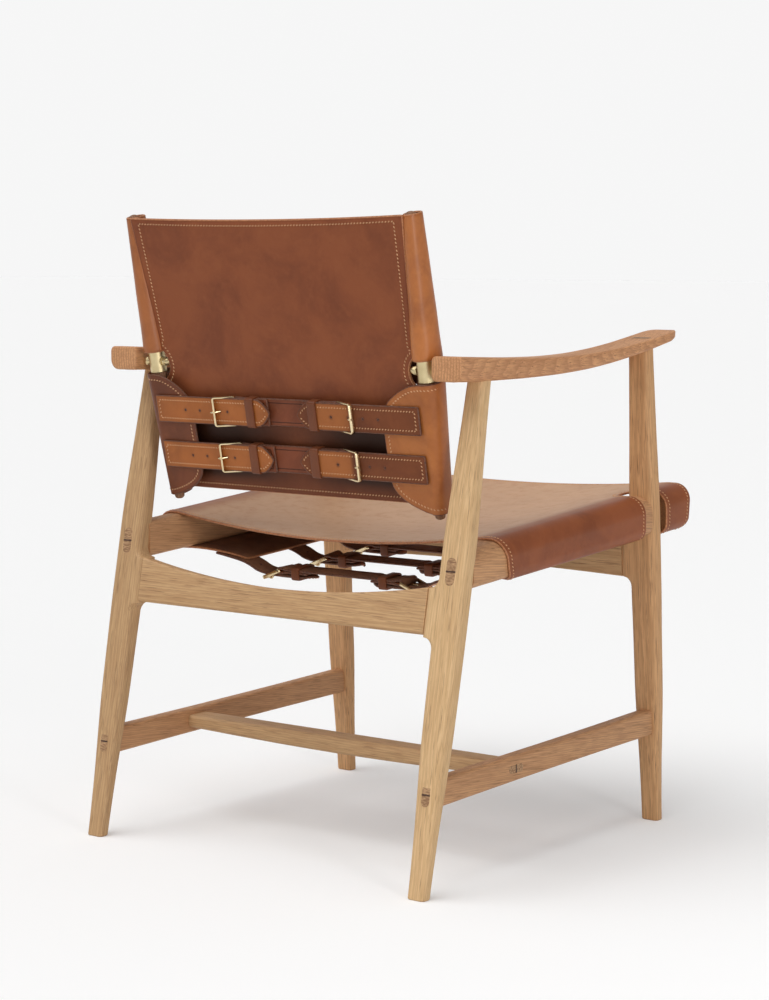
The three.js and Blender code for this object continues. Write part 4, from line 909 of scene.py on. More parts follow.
def finishes() -> Sequence[Finish]:
    """Every finish of the chair. A name that ends in a side belongs to the pieces of that side."""
    along, across, upright = Grain.DEEP, Grain.ACROSS, Grain.UPRIGHT
    saddle = {"slot": Slot.SADDLE}
    rosy = ((222, 166, 118), (176, 122, 82), (140, 92, 62))
    rear_pith, rear_lean, skew = (0.29, 0.335, 0), atan(-0.196), radians(7)
    panel = ((144, 80, 48), (118, 62, 38), (156, 92, 58), 0.46, 0.2)
    return (
        Oak("oak_back_leg_left", upright, rear_pith, rear_lean),
        Oak("oak_back_leg_right", upright, rear_pith, rear_lean, (232, 196, 148), (202, 162, 114),
            (156, 118, 82)),
        Oak("oak_front_leg", upright, (0.25, -0.31, 0), atan(0.064), (226, 178, 128), (190, 142, 96)),
        Oak("oak_arm", along, (0.215, 0.0, 0.644), 0.0, *rosy, 0.0032, 0.62, skew, 1.0, 8.5),
        Oak("oak_arm_end", along, (0.14, 0.0, 0.644), 0.0, *rosy, 0.0042, 0.8, skew, 0.4),
        Oak("oak_rail", along, (0.23, 0, 0.3), -0.08, (212, 162, 116), (172, 124, 86)),
        Oak("oak_cross_rail", across, (0, 0.2, 0.29), 0.0, (214, 176, 130), (182, 140, 98)),
        Oak("oak_rod", upright, (0.19, 0.07, 0), radians(11.3), (160, 118, 88), (122, 84, 60), (92, 60, 42)),
        EndGrain("oak_end_grain", (196, 156, 114), (142, 104, 72), slot=Slot.OAK),
        EndGrain("dark_wedge_wood", (92, 60, 42), (62, 38, 28), slot=Slot.WEDGE),
        # The panel's rear face carries painted shade behind its straps and at its foot.
        Hide("panel_leather", *panel, painted_shade=Shade(), **saddle),
        Hide("panel_front_leather", *panel, **saddle),
        # The lining's grain side is painted darker than the panel: painted shade for the hollow round the
        # acorn nut.
        Hide("lining_leather", (92, 50, 32), (70, 38, 25), (104, 60, 40), 0.5, 0.15, **saddle),
        Hide("sleeve_leather_left", (172, 102, 54), (136, 76, 40), (186, 116, 64), 0.33, 0.4, **saddle),
        Hide("sleeve_leather_right", (192, 116, 58), (152, 86, 44), (204, 130, 70), 0.33, 0.4, **saddle),
        Hide("wing_leather_left", (122, 66, 38), (94, 49, 28), (136, 78, 46), 0.4, 0.25, **saddle),
        Hide("wing_leather_right", (182, 110, 56), (142, 80, 42), (196, 124, 68), 0.38, 0.3, **saddle),
        Hide("billet_leather_left", (172, 100, 48), (140, 80, 38), (186, 114, 60), 0.4, 0.25),
        # The right billets' lighter length near the tip is painted light, where the leather tilts to catch
        # the light.
        Hide("billet_leather_right", (124, 68, 38), (98, 52, 30), (138, 80, 46), 0.44, 0.2,
             painted_light=(170, 102, 54)),
        Hide("keeper_leather", (132, 74, 42), (104, 57, 34), (146, 86, 52)),
        Hide("centre_strap_leather", (134, 72, 46), (104, 56, 36), (146, 84, 54), 0.44, 0.2, 4.3),
        # The seat's lighter top is a painted sheen; its roll keeps the leather's own brown.
        Hide("seat_leather", (152, 84, 48), (124, 66, 38), (164, 98, 60), 0.48, 0.3, 0.0, (200, 158, 122),
             (-200.0, 252.0), 26.0, **saddle),
        # Lighter copies of the strap leathers: their tone is raised to paint in light bounced up from the
        # floor under the seat.
        Hide("seat_billet_leather", (224, 150, 98), (186, 118, 76), (232, 164, 112), 0.42, 0.3),
        Hide("seat_centre_leather", (216, 142, 96), (176, 110, 74), (226, 156, 108), 0.44, 0.3, 4.3),
        CutEdge("burnished_edge"),
        CutEdge("panel_edge", (196, 132, 88), (156, 98, 62)),
        Flesh("flesh_side"),
        Waxed("waxed_thread"),
        Brass("satin_brass"),
        Brass("polished_brass", (228, 208, 168), (198, 176, 132), 0.17),
    )


# Pieces


class Workshop:
    """Makes finished pieces and puts them on their bodies."""

    def __init__(self) -> None:
        """Makes every finish once."""
        self.slots = {finish.name: finish.slot for finish in finishes()}
        self.materials = {finish.name: finish.material() for finish in finishes()}
        self.made = 0

    def piece(self, name: str, surface: Surface, body: Body, *looks: str, node: str = "") -> bpy.types.Object:
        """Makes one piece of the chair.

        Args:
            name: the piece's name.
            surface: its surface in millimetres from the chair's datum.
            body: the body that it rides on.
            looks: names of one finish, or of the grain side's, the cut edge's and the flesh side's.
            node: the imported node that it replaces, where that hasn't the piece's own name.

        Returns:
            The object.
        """
        mesh = bpy.data.meshes.new(name)
        places = (surface.points + (0, DATUM_Y, 0)) * METRE
        mesh.from_pydata(places.tolist(), [], surface.quads.tolist() + surface.triangles.tolist())
        store = mesh.attributes.new("place", "FLOAT_VECTOR", "POINT")
        store.data.foreach_set("vector", surface.place.astype(np.float32).ravel())
        for look in looks:
            mesh.materials.append(self.materials[look])
        sides = np.minimum(surface.sides, len(looks) - 1).astype(np.int32)
        mesh.polygons.foreach_set("material_index", sides)
        mesh.shade_smooth()
        mesh.set_sharp_from_angle(angle=SHARP_FROM)
        mesh.update()
        made = bpy.data.objects.new(name, mesh)
        bpy.context.scene.collection.objects.link(made)
        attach(made, body.value)
        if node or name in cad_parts:
            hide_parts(node or name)
        self.made += 1
        log.info("%s: %d faces on %s", name, len(mesh.polygons), body.value)
        return made

    def pair(self, name: str, surface: Surface, body: Body, *looks: str,
             node: str = "") -> list[bpy.types.Object]:
        """The same piece on the sitter's left and, mirrored, on the right.

        Args:
            name: the two pieces' name without its side.
            surface: the left piece's surface.
            body: the body that both ride on.
            looks: names of finishes, with {side} in the name of one that differs between the two.
            node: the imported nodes' name without its side, where that isn't the pieces' own.

        Returns:
            The left object and the right one.
        """
        return [
            self.piece(
                f"{name}_{side}", made, body, *[look.format(side=side) for look in looks],
                node=node and f"{node}_{side}",
            )
            for side, made in (("left", surface), ("right", surface.mirrored()))
        ]


@dataclass
class Leg:
    """One kind of leg: a raked, tapered oak post that swells out to meet its rail.

    Attributes:
        foot_y: its middle on the floor.
        rake: how far it goes back for each millimetre up.
        shares: height, width and depth at stations up the leg.
        low, high: the lower and upper edge of its cross rail.
        spread: its distance from the chair's middle.
        flare: radius of the curves that lead into the rail.
    """

    foot_y: float
    rake: float
    shares: tuple[tuple[float, float, float], ...]
    low: float
    high: float
    spread: float = 270
    width: float = 40
    depth: float = 26.5
    height: float = 650
    corner_share: float = 0.32
    flare: float = 14
    foot_round: float = 2.2

    def y_at(self, z: Array) -> Array:
        """The leg's middle at a height."""
        return self.foot_y + self.rake * np.asarray(z, float)

    def halves(self, z: Array) -> Array:
        """Half the leg's width and depth at heights, as two columns."""
        return smooth_rows(self.shares, np.asarray(z, float) / self.height) * (self.width / 2, self.depth / 2)

    def face_y(self, z: float, side: int) -> float:
        """Where the leg's rear (1) or front (-1) face lies at a height."""
        return float(self.y_at(z) + side * self.halves(z)[0, 1])

    def surface(self, top: float) -> Surface:
        """The leg from the floor to a height.

        Each ring is a rounded rectangle whose inner side moves out by a quarter circle of the
        flare's radius just below and above the rail, and all the way between.
        """
        z = np.unique(np.concatenate([
            self.foot_round * (1 - np.cos(np.linspace(0, pi / 2, 5))), np.linspace(self.foot_round, top, 90),
            np.linspace(self.low - self.flare, self.low, 12),
            np.linspace(self.high, self.high + self.flare, 12),
        ]))
        wide, deep = self.halves(z).T
        away = np.clip(np.maximum(self.low - z, z - self.high), 0, self.flare)
        flare = self.flare - np.sqrt(self.flare ** 2 - (self.flare - away) ** 2)
        near = np.clip(self.foot_round - z, 0, None)
        inset = self.foot_round - np.sqrt(np.maximum(self.foot_round ** 2 - near ** 2, 0))
        ring = sections(
            (self.spread - wide - flare + inset, inset - deep), (self.spread + wide - inset, deep - inset),
            (deep - inset) * 2 * self.corner_share, 7,
        )
        return loft(stacked(ring[..., 0], ring[..., 1] + self.y_at(z)[:, None], z[:, None]))


BACK_LEG = Leg(268, -0.196, (
    (0, 0.66, 0.63), (0.115, 0.73, 0.69), (0.195, 0.83, 0.78), (0.292, 0.94, 0.9), (0.4, 0.98, 0.95),
    (0.5, 1, 1), (0.64, 1, 1), (0.73, 0.93, 0.95), (0.84, 0.79, 0.85), (0.93, 0.7, 0.79), (1, 0.66, 0.76),
), 312, 371)
FRONT_LEG = Leg(-269, 0.064, (
    (0, 0.66, 0.63), (0.115, 0.73, 0.69), (0.195, 0.83, 0.78), (0.292, 0.92, 0.9), (0.4, 0.94, 0.95),
    (0.5, 0.98, 1), (0.66, 1, 1), (0.74, 0.95, 0.97), (0.82, 0.88, 0.92), (0.9, 0.83, 0.87), (1, 0.78, 0.81),
), 340, 391)


@dataclass
class Armrest:
    """An oak arm that dips in the middle and rises to a rounded tip in front.

    Attributes:
        shares: place from the rear, the top's rise, thickness and width at stations along it.
        tip_share, tip_power: the tip's least thickness, and the power of the cosine that leads to it.
        edge_share, under_share: radii of its edges as shares of its thickness.
        let_in: how far the legs reach up into it.
    """

    rear_y: float = 212
    length: float = 512
    centre: float = 268
    top_low: float = 648
    rise: float = 28
    thickness: float = 31
    width: float = 50
    tip_length: float = 34
    tip_share: float = 0.2
    tip_power: float = 0.6
    edge_share: float = 0.2
    under_share: float = 0.4
    end_round: float = 3.0
    let_in: float = 5
    shares: tuple[tuple[float, float, float, float], ...] = (
        (0, 0.25, 1, 0.92), (0.082, 0.186, 0.975, 0.92), (0.18, 0.107, 0.9, 0.92),
        (0.297, 0.03, 0.815, 0.91), (0.414, 0, 0.735, 0.9), (0.531, 0.046, 0.665, 0.91),
        (0.648, 0.18, 0.59, 0.94), (0.766, 0.4, 0.51, 0.98), (0.855, 0.62, 0.45, 1.02),
        (0.934, 0.84, 0.4, 1.02), (1, 1.02, 0.36, 0.98),
    )

    def read(self, y: Array) -> tuple[Array, Array, Array]:
        """The top's height, the thickness and half the width at places along the arm."""
        lift, thick, wide = smooth_rows(self.shares, (self.rear_y - np.atleast_1d(y)) / self.length).T
        return self.top_low + self.rise * lift, self.thickness * thick, self.width / 2 * wide

    def leg_top(self, y: float) -> float:
        """How high a leg that stands under the arm reaches."""
        top, thick, _ = self.read(y)
        return float(top[0] - thick[0]) + self.let_in

    def surface(self) -> Surface:
        """The arm, through rounded sections from its rear end to its tip.

        The tip's width follows a cosine, so that it is half an ellipse seen from above, and
        the rear end is rounded over by a quarter circle.
        """
        tip = self.rear_y - self.length
        turn = np.linspace(0, pi / 2, 16, endpoint=False)
        rear = np.linspace(0, pi / 2, 5)
        y = np.concatenate([
            self.rear_y - self.end_round * (1 - np.cos(rear)),
            np.linspace(self.rear_y - self.end_round - 4, tip + self.tip_length + 4, 70),
            tip + self.tip_length * (1 - np.sin(turn)),
        ])
        shrink, thin, inset = np.ones(len(y)), np.ones(len(y)), np.zeros(len(y))
        shrink[-len(turn):] = np.cos(turn)
        thin[-len(turn):] = self.tip_share + (1 - self.tip_share) * np.cos(turn) ** self.tip_power
        inset[: len(rear)] = self.end_round * (1 - np.sin(rear))
        top, thick, half = self.read(y)
        middle, tall = top - thick / 2, thick * thin
        half = half * shrink - inset
        edge = np.minimum(tall * self.edge_share, half / 2)
        under = np.minimum(tall * self.under_share, half * 0.95)
        ring = sections(
            (self.centre - half, middle - tall / 2 + inset), (self.centre + half, middle + tall / 2 - inset),
            (edge, under, edge, edge), 7,
        )
        made = loft(stacked(ring[..., 0], y[:, None], ring[..., 1]))
        reach = [made.points[faces].mean(axis=1)[:, 1] for faces in (made.quads, made.triangles)]
        made.sides = (np.concatenate(reach) > self.rear_y - self.end_round / 3).astype(int)
        return made


@dataclass
class OakFrame:
    """Legs, rails, stretchers and arms, with the wedged ends of their through tenons.

    Attributes:
        rail_datum: place along the chair at which rail_top is the side rails' height.
        rail_rise, rail_under_rise: slopes of a side rail's top and underside.
        rail_rounds: radii of its section from the low inner corner round.
        lap_z: height at which the housing for the front leg is measured.
        lap_recess: how far the housing reaches ahead of the leg.
        stretcher_rear: the place and height of a side stretcher's middle at its rear end.
        proud: how far tenons stand out of the wood.
    """

    arm: Armrest = field(default_factory=Armrest)
    rail_datum: float = 175
    rail_top: float = 418.8
    rail_height: float = 48
    rail_rise: float = 0.082
    rail_under_rise: float = 0.0703
    rail_inner: float = 248
    rail_outer: float = 290
    rail_rounds: tuple[float, ...] = (8, 12, 22, 8)
    rail_nose: float = -319
    nose_round: float = 5
    lap_z: float = 412
    lap_recess: float = 13
    lap_gap: float = 0.2
    rail_z_behind: float = 395
    let_in: float = 6
    rail_depth: float = 25
    rail_corner: float = 3.4
    cross_rail_over: float = 2.5
    stretcher_rear: tuple[float, float] = (246, 126)
    stretcher_rise: float = 0.0265
    stretcher_half: tuple[float, float] = (10.5, 17.5)
    stretcher_waist: float = 0.07
    stretcher_corner: float = 5
    cross_y: float = 77
    cross_half: float = 20
    cross_tall: float = 22
    cross_end_share: float = 0.8
    cross_corner: float = 6
    tenon_x: float = 270
    proud: float = 0.22

    def rail_z(self, y: Array) -> tuple[Array, Array]:
        """The top and the underside of a seat side rail along the chair."""
        ahead = self.rail_datum - np.asarray(y, float)
        under = self.rail_top - self.rail_height + self.rail_under_rise * ahead
        return self.rail_top + self.rail_rise * ahead, under

    def stretcher_z(self, y: Array) -> Array:
        """The middle of a side stretcher along the chair."""
        return self.stretcher_rear[1] + self.stretcher_rise * (self.stretcher_rear[0] - y)

    def side_rail(self) -> Surface:
        """A seat rail: a rounded bar whose outer half is let into the front leg.

        Ring by ring the outer side is held to the leg's middle plane within the housing, which
        reaches a little ahead of the leg.
        """
        rear = BACK_LEG.face_y(self.rail_z_behind, -1) + self.let_in
        start, stop = FRONT_LEG.face_y(self.lap_z, 1), FRONT_LEG.face_y(self.lap_z, -1) - self.lap_recess
        step, ease = 0.05, np.linspace(0, pi / 2, 7)
        y = np.concatenate([
            np.linspace(rear, start + 2 * step, 40), [start + step, start],
            np.linspace(start - step, stop + step, 10), [stop, stop - step],
            np.linspace(stop - 1, self.rail_nose + self.nose_round, 14),
            self.rail_nose + self.nose_round * (1 - np.sin(ease)),
        ])
        inset = np.zeros(len(y))
        inset[-len(ease):] = self.nose_round * (1 - np.cos(ease))
        top, low = self.rail_z(y)
        ring = sections(
            (self.rail_inner + inset, low + inset), (self.rail_outer - inset, top - inset),
            tuple(radius - inset for radius in self.rail_rounds), 9,
        )
        limit = np.where((y <= start) & (y >= stop), FRONT_LEG.spread - self.lap_gap, np.inf)[:, None]
        return loft(stacked(np.minimum(ring[..., 0], limit), y[:, None], ring[..., 1]))

    def side_stretcher(self) -> Surface:
        """A lower side rail, waisted between the legs by a sine along its length."""
        share = np.linspace(0, 1, 60)
        z = self.stretcher_z(0)
        rear, front = float(BACK_LEG.y_at(z)), float(FRONT_LEG.y_at(z))
        y = rear + (front - rear) * share
        wide, tall = self.stretcher_half
        half = tall * (1 - self.stretcher_waist * np.sin(share * pi))
        middle = self.stretcher_z(y)
        ring = sections(
            (self.tenon_x - wide, middle - half), (self.tenon_x + wide, middle + half),
            self.stretcher_corner, 7,
        )
        return loft(stacked(ring[..., 0], y[:, None], ring[..., 1]))

    def cross_stretcher(self) -> Surface:
        """The stretcher across the chair: flat above, its underside bowed by a sine."""
        share = np.linspace(0, 1, 60)
        end = self.tenon_x - self.stretcher_half[0]
        tall = self.cross_tall * (self.cross_end_share + (1 - self.cross_end_share) * np.sin(share * pi))
        top = self.stretcher_z(self.cross_y) + self.cross_tall * self.cross_end_share / 2
        ring = sections(
            (self.cross_y - self.cross_half, top - tall), (self.cross_y + self.cross_half, top),
            self.cross_corner, 7,
        )
        return loft(stacked((-end + 2 * end * share)[:, None], ring[..., 0], ring[..., 1]))

    def cross_rail(self, leg: Leg, middle: float, arch: float) -> Surface:
        """A rail between two legs, its edges parabolas across the chair.

        The upper edge dips from the legs to the middle and the lower edge arches, both by the
        square of the place across; the board leans with the legs.

        Args:
            leg: the legs that it joins.
            middle: height of its upper edge in the middle.
            arch: how far its lower edge rises there.

        Returns:
            The rail.
        """
        centre = (leg.low + leg.high) / 2
        end = leg.spread - float(leg.halves(centre)[0, 0]) - leg.flare + self.cross_rail_over
        share = np.linspace(-1, 1, 81)
        low = leg.low + arch * (1 - share ** 2) - centre
        high = middle + (leg.high - middle) * share ** 2 - centre
        half = self.rail_depth / 2
        ring = sections((-half, low), (half, high), self.rail_corner)
        up, behind = unit(np.array([0, leg.rake, 1])), unit(np.array([0, 1, -leg.rake]))
        points = np.array([0, float(leg.y_at(centre)), centre]) + ring[..., :1] * behind + ring[..., 1:] * up
        points[..., 0] = (share * end)[:, None]
        return loft(points)

    def tenon(self, shop: Workshop, name: str, place: Callable[[Array], Array], size: tuple[float, float],
              wedge: str, lengthwise: bool = False) -> None:
        """The end of a through tenon and its wedge, a hair proud of the wood.

        Args:
            shop: makes the pieces.
            name: the tenon's name.
            place: moves it from its own middle to the wood's face.
            size: its length and breadth.
            wedge: the wedge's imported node.
            lengthwise: whether the wedge lies along the tenon rather than across it.
        """
        kerf, over, depth = 1.15, 0.2, 3.0
        long, short = size[0] / 2, size[1] / 2
        cap = raised(
            outline(long, short, short - 0.01, 10),
            (-depth, self.proud - 0.2, self.proud - 0.04, self.proud),
            (1, 1, 1 - 0.06 / short, 1 - 0.22 / short),
        )
        half = (long - short / 2, kerf) if lengthwise else (kerf, short + over)
        slip = raised(outline(*half, 0.5, 3), (1 - depth, self.proud + 0.05, self.proud + 0.1), (1, 1, 0.97))
        shop.pair(name, cap.moved(place), Body.FRAME, "oak_end_grain")
        shop.pair(f"{name}_wedge", slip.moved(place), Body.FRAME, "dark_wedge_wood", node=wedge)

    def build(self, shop: Workshop) -> None:
        """Makes the oak pieces."""
        arm, body = self.arm, Body.FRAME
        back_y, front_y = float(BACK_LEG.y_at(640)), float(FRONT_LEG.y_at(FRONT_LEG.height))
        shop.pair("back_leg", BACK_LEG.surface(arm.leg_top(back_y)), body, "oak_back_leg_{side}")
        shop.pair("front_leg", FRONT_LEG.surface(arm.leg_top(front_y)), body, "oak_front_leg")
        shop.pair("armrest", arm.surface(), body, "oak_arm", "oak_arm_end")
        shop.pair("seat_side_rail", self.side_rail(), body, "oak_rail")
        shop.pair("side_stretcher", self.side_stretcher(), body, "oak_rail")
        shop.piece("cross_stretcher", self.cross_stretcher(), body, "oak_cross_rail")
        shop.piece("back_rail", self.cross_rail(BACK_LEG, 349, 0), body, "oak_cross_rail")
        shop.piece("front_rail", self.cross_rail(FRONT_LEG, 380, 4), body, "oak_cross_rail")
        up, behind = (0, BACK_LEG.rake, 1), (0, 1, -BACK_LEG.rake)
        rail_z, lower_z = float(sum(self.rail_z(192))) / 2, self.stretcher_rear[1]
        for name, z, size, wedge in (
            ("seat_rail_tenon", rail_z, (34.5, 14), "seat_rail_wedge"),
            ("stretcher_tenon", lower_z, (28.5, 12), "stretcher_wedge"),
        ):
            face = basis((self.tenon_x, BACK_LEG.face_y(z, 1), z), behind, up)
            self.tenon(shop, name, face, size, wedge)
        side = (self.tenon_x + self.stretcher_half[0], self.cross_y, self.stretcher_z(self.cross_y))
        self.tenon(
            shop, "cross_stretcher_tenon", basis(side, (1, 0, 0), (0, 1, 0)), (31, 10.5),
            "cross_stretcher_wedge",
        )
        before, top, behind = arm.read(np.array([front_y - 10, front_y, front_y + 10]))[0]
        face = basis((self.tenon_x, front_y, float(top)), (0, float(before - behind) / 20, 1), (1, 0, 0))
        self.tenon(shop, "arm_tenon", face, (29, 13), "armrest_wedge", True)


@dataclass
class BackPlace:
    """Where the tilting back lies: its pivot, its recline and its two rods."""

    pivot_y: float = 192
    pivot_z: float = 636
    recline: float = radians(11.3)
    rod_spread: float = 223.2
    splay: float = 0.025

    def world(self, points: Array) -> Array:
        """Places across, up along the back and out behind it, as places in the chair."""
        x, s, n = points[..., 0], points[..., 1], points[..., 2]
        y = self.pivot_y + s * sin(self.recline) + n * cos(self.recline)
        return stacked(x, y, self.pivot_z + s * cos(self.recline) - n * sin(self.recline))

    def turn(self, normal: Array) -> Array:
        """A direction on the back as one in the chair."""
        return self.world(normal) - self.world(np.zeros(3))

    def rod_x(self, s: Array) -> Array:
        """The rod's middle at a height along the back."""
        return self.rod_spread + self.splay * np.asarray(s, float)


@dataclass
class Pivots:
    """Rods, brass tubes, bolts and acorn nuts.

    Attributes:
        rod_profile: radius and height of a rod between its two rounded ends.
        rod_top, rod_foot: radius and height at which those ends start.
        rod_dome: how far they stand out.
        bolt_profile: radius and share of the way from the tube to the arm.
        nut_flange, nut_neck: radius and height below and above a nut's flats.
        nut_flats: the two heights between which it is six-sided.
        nut_dome: its dome's radius, and the height at which it starts and by which it rises.
    """

    back: BackPlace = field(default_factory=BackPlace)
    rod_profile: tuple[tuple[float, float], ...] = (
        (8.4, -120), (11, -40), (11, -14.6), (9.4, -14.5), (9.4, 47),
    )
    rod_top: tuple[float, float] = (6.6, 193)
    rod_foot: tuple[float, float] = (6.5, -186)
    rod_dome: float = 4
    tube_radius: float = 11
    tube_bore: float = 9.6
    tube_half: float = 14.2
    tube_round: float = 0.7
    bolt_profile: tuple[tuple[float, float], ...] = (
        (3.4, 0), (4.0, 0.2), (5.2, 0.32), (5.6, 0.42), (5.6, 0.62), (5.2, 0.72), (4.0, 0.84), (3.4, 1),
    )
    bolt_into_tube: float = 0.4
    bolt_into_arm: float = 1
    nut_flange: tuple[tuple[float, float], ...] = ((7.0, 0.0), (7.0, 1.1), (5.6, 1.2))
    nut_radius: float = 6.2
    nut_flats: tuple[float, float] = (1.2, 5.4)
    nut_neck: tuple[float, float] = (5.6, 6.3)
    nut_dome: tuple[float, float] = (5.1, 6.4)
    nut_into_tube: float = 0.5

    def on_rod(self, surface: Surface) -> Surface:
        """Moves a piece turned about its own axis to the rod."""
        lean = basis((self.back.rod_spread, 0, 0), (self.back.splay, 1, 0), (1, 0, 0))
        return surface.moved(lambda p: self.back.world(lean(p)))

    def rod(self) -> Surface:
        """The oak rod: tapered to its lower end and to its domed top."""
        radius, height = self.rod_top
        top = [(radius * cos(a), height + self.rod_dome * sin(a)) for a in np.linspace(0, pi / 2, 7)[:-1]]
        radius, height = self.rod_foot
        foot = [(radius * sin(a), height - self.rod_dome * cos(a)) for a in np.linspace(0.25, pi / 2, 6)]
        return self.on_rod(turned([*foot, *self.rod_profile, *top]))

    def tube(self) -> Surface:
        """The brass tube round the rod, its two rims eased."""
        radius, half, ease = self.tube_radius, self.tube_half, self.tube_round
        rim = [(radius - ease * (1 - sin(a)), half - ease * (1 - cos(a))) for a in np.linspace(0, pi / 2, 5)]
        body = [(radius, z) for z in np.linspace(1 - half, half - 1, 8)]
        foot = [(self.tube_bore, -half), *[(r, -z) for r, z in rim]]
        return self.on_rod(turned([*foot, *body, *rim[::-1], (self.tube_bore, half)], 64))

    def bolt(self, arm_side: float) -> Surface:
        """The shank's collar between the tube and the arm."""
        inner = self.back.rod_spread + self.tube_radius - self.bolt_into_tube
        span = arm_side + self.bolt_into_arm - inner
        place = basis((inner, self.back.pivot_y, self.back.pivot_z), (1, 0, 0), (0, 0, 1))
        return turned([(radius, span * share) for radius, share in self.bolt_profile]).moved(place)

    def nut(self) -> Surface:
        """The acorn nut on the tube's inner side: six flats, a chamfer and a dome."""
        angle = np.linspace(0, 2 * pi, 48, endpoint=False)
        flats = self.nut_radius * cos(pi / 6) / np.cos((angle + pi / 6) % (pi / 3) - pi / 6)
        radius, height = self.nut_dome
        profile = [
            *self.nut_flange, *[(flats, z) for z in self.nut_flats], self.nut_neck,
            *[(radius * cos(a), height + height * sin(a)) for a in np.linspace(0, pi / 2, 9)[:-1]],
        ]
        inner = self.back.rod_spread - self.tube_radius + self.nut_into_tube
        place = basis((inner, self.back.pivot_y, self.back.pivot_z), (-1, 0, 0), (0, 0, 1))
        rings = [stacked(r * np.cos(angle), r * np.sin(angle), z) for r, z in profile]
        return loft(np.stack(rings)).moved(place)

    def build(self, shop: Workshop, arm: Armrest) -> None:
        """Makes the rods and the brass."""
        shop.pair("back_rod", self.rod(), Body.BACK, "oak_rod")
        shop.pair("brass_tube", self.tube(), Body.BACK, "satin_brass")
        inner = arm.centre - float(arm.read(self.back.pivot_y)[2][0])
        shop.pair("pivot_bolt", self.bolt(inner), Body.FRAME, "satin_brass")
        shop.pair("acorn_nut", self.nut(), Body.FRAME, "satin_brass")


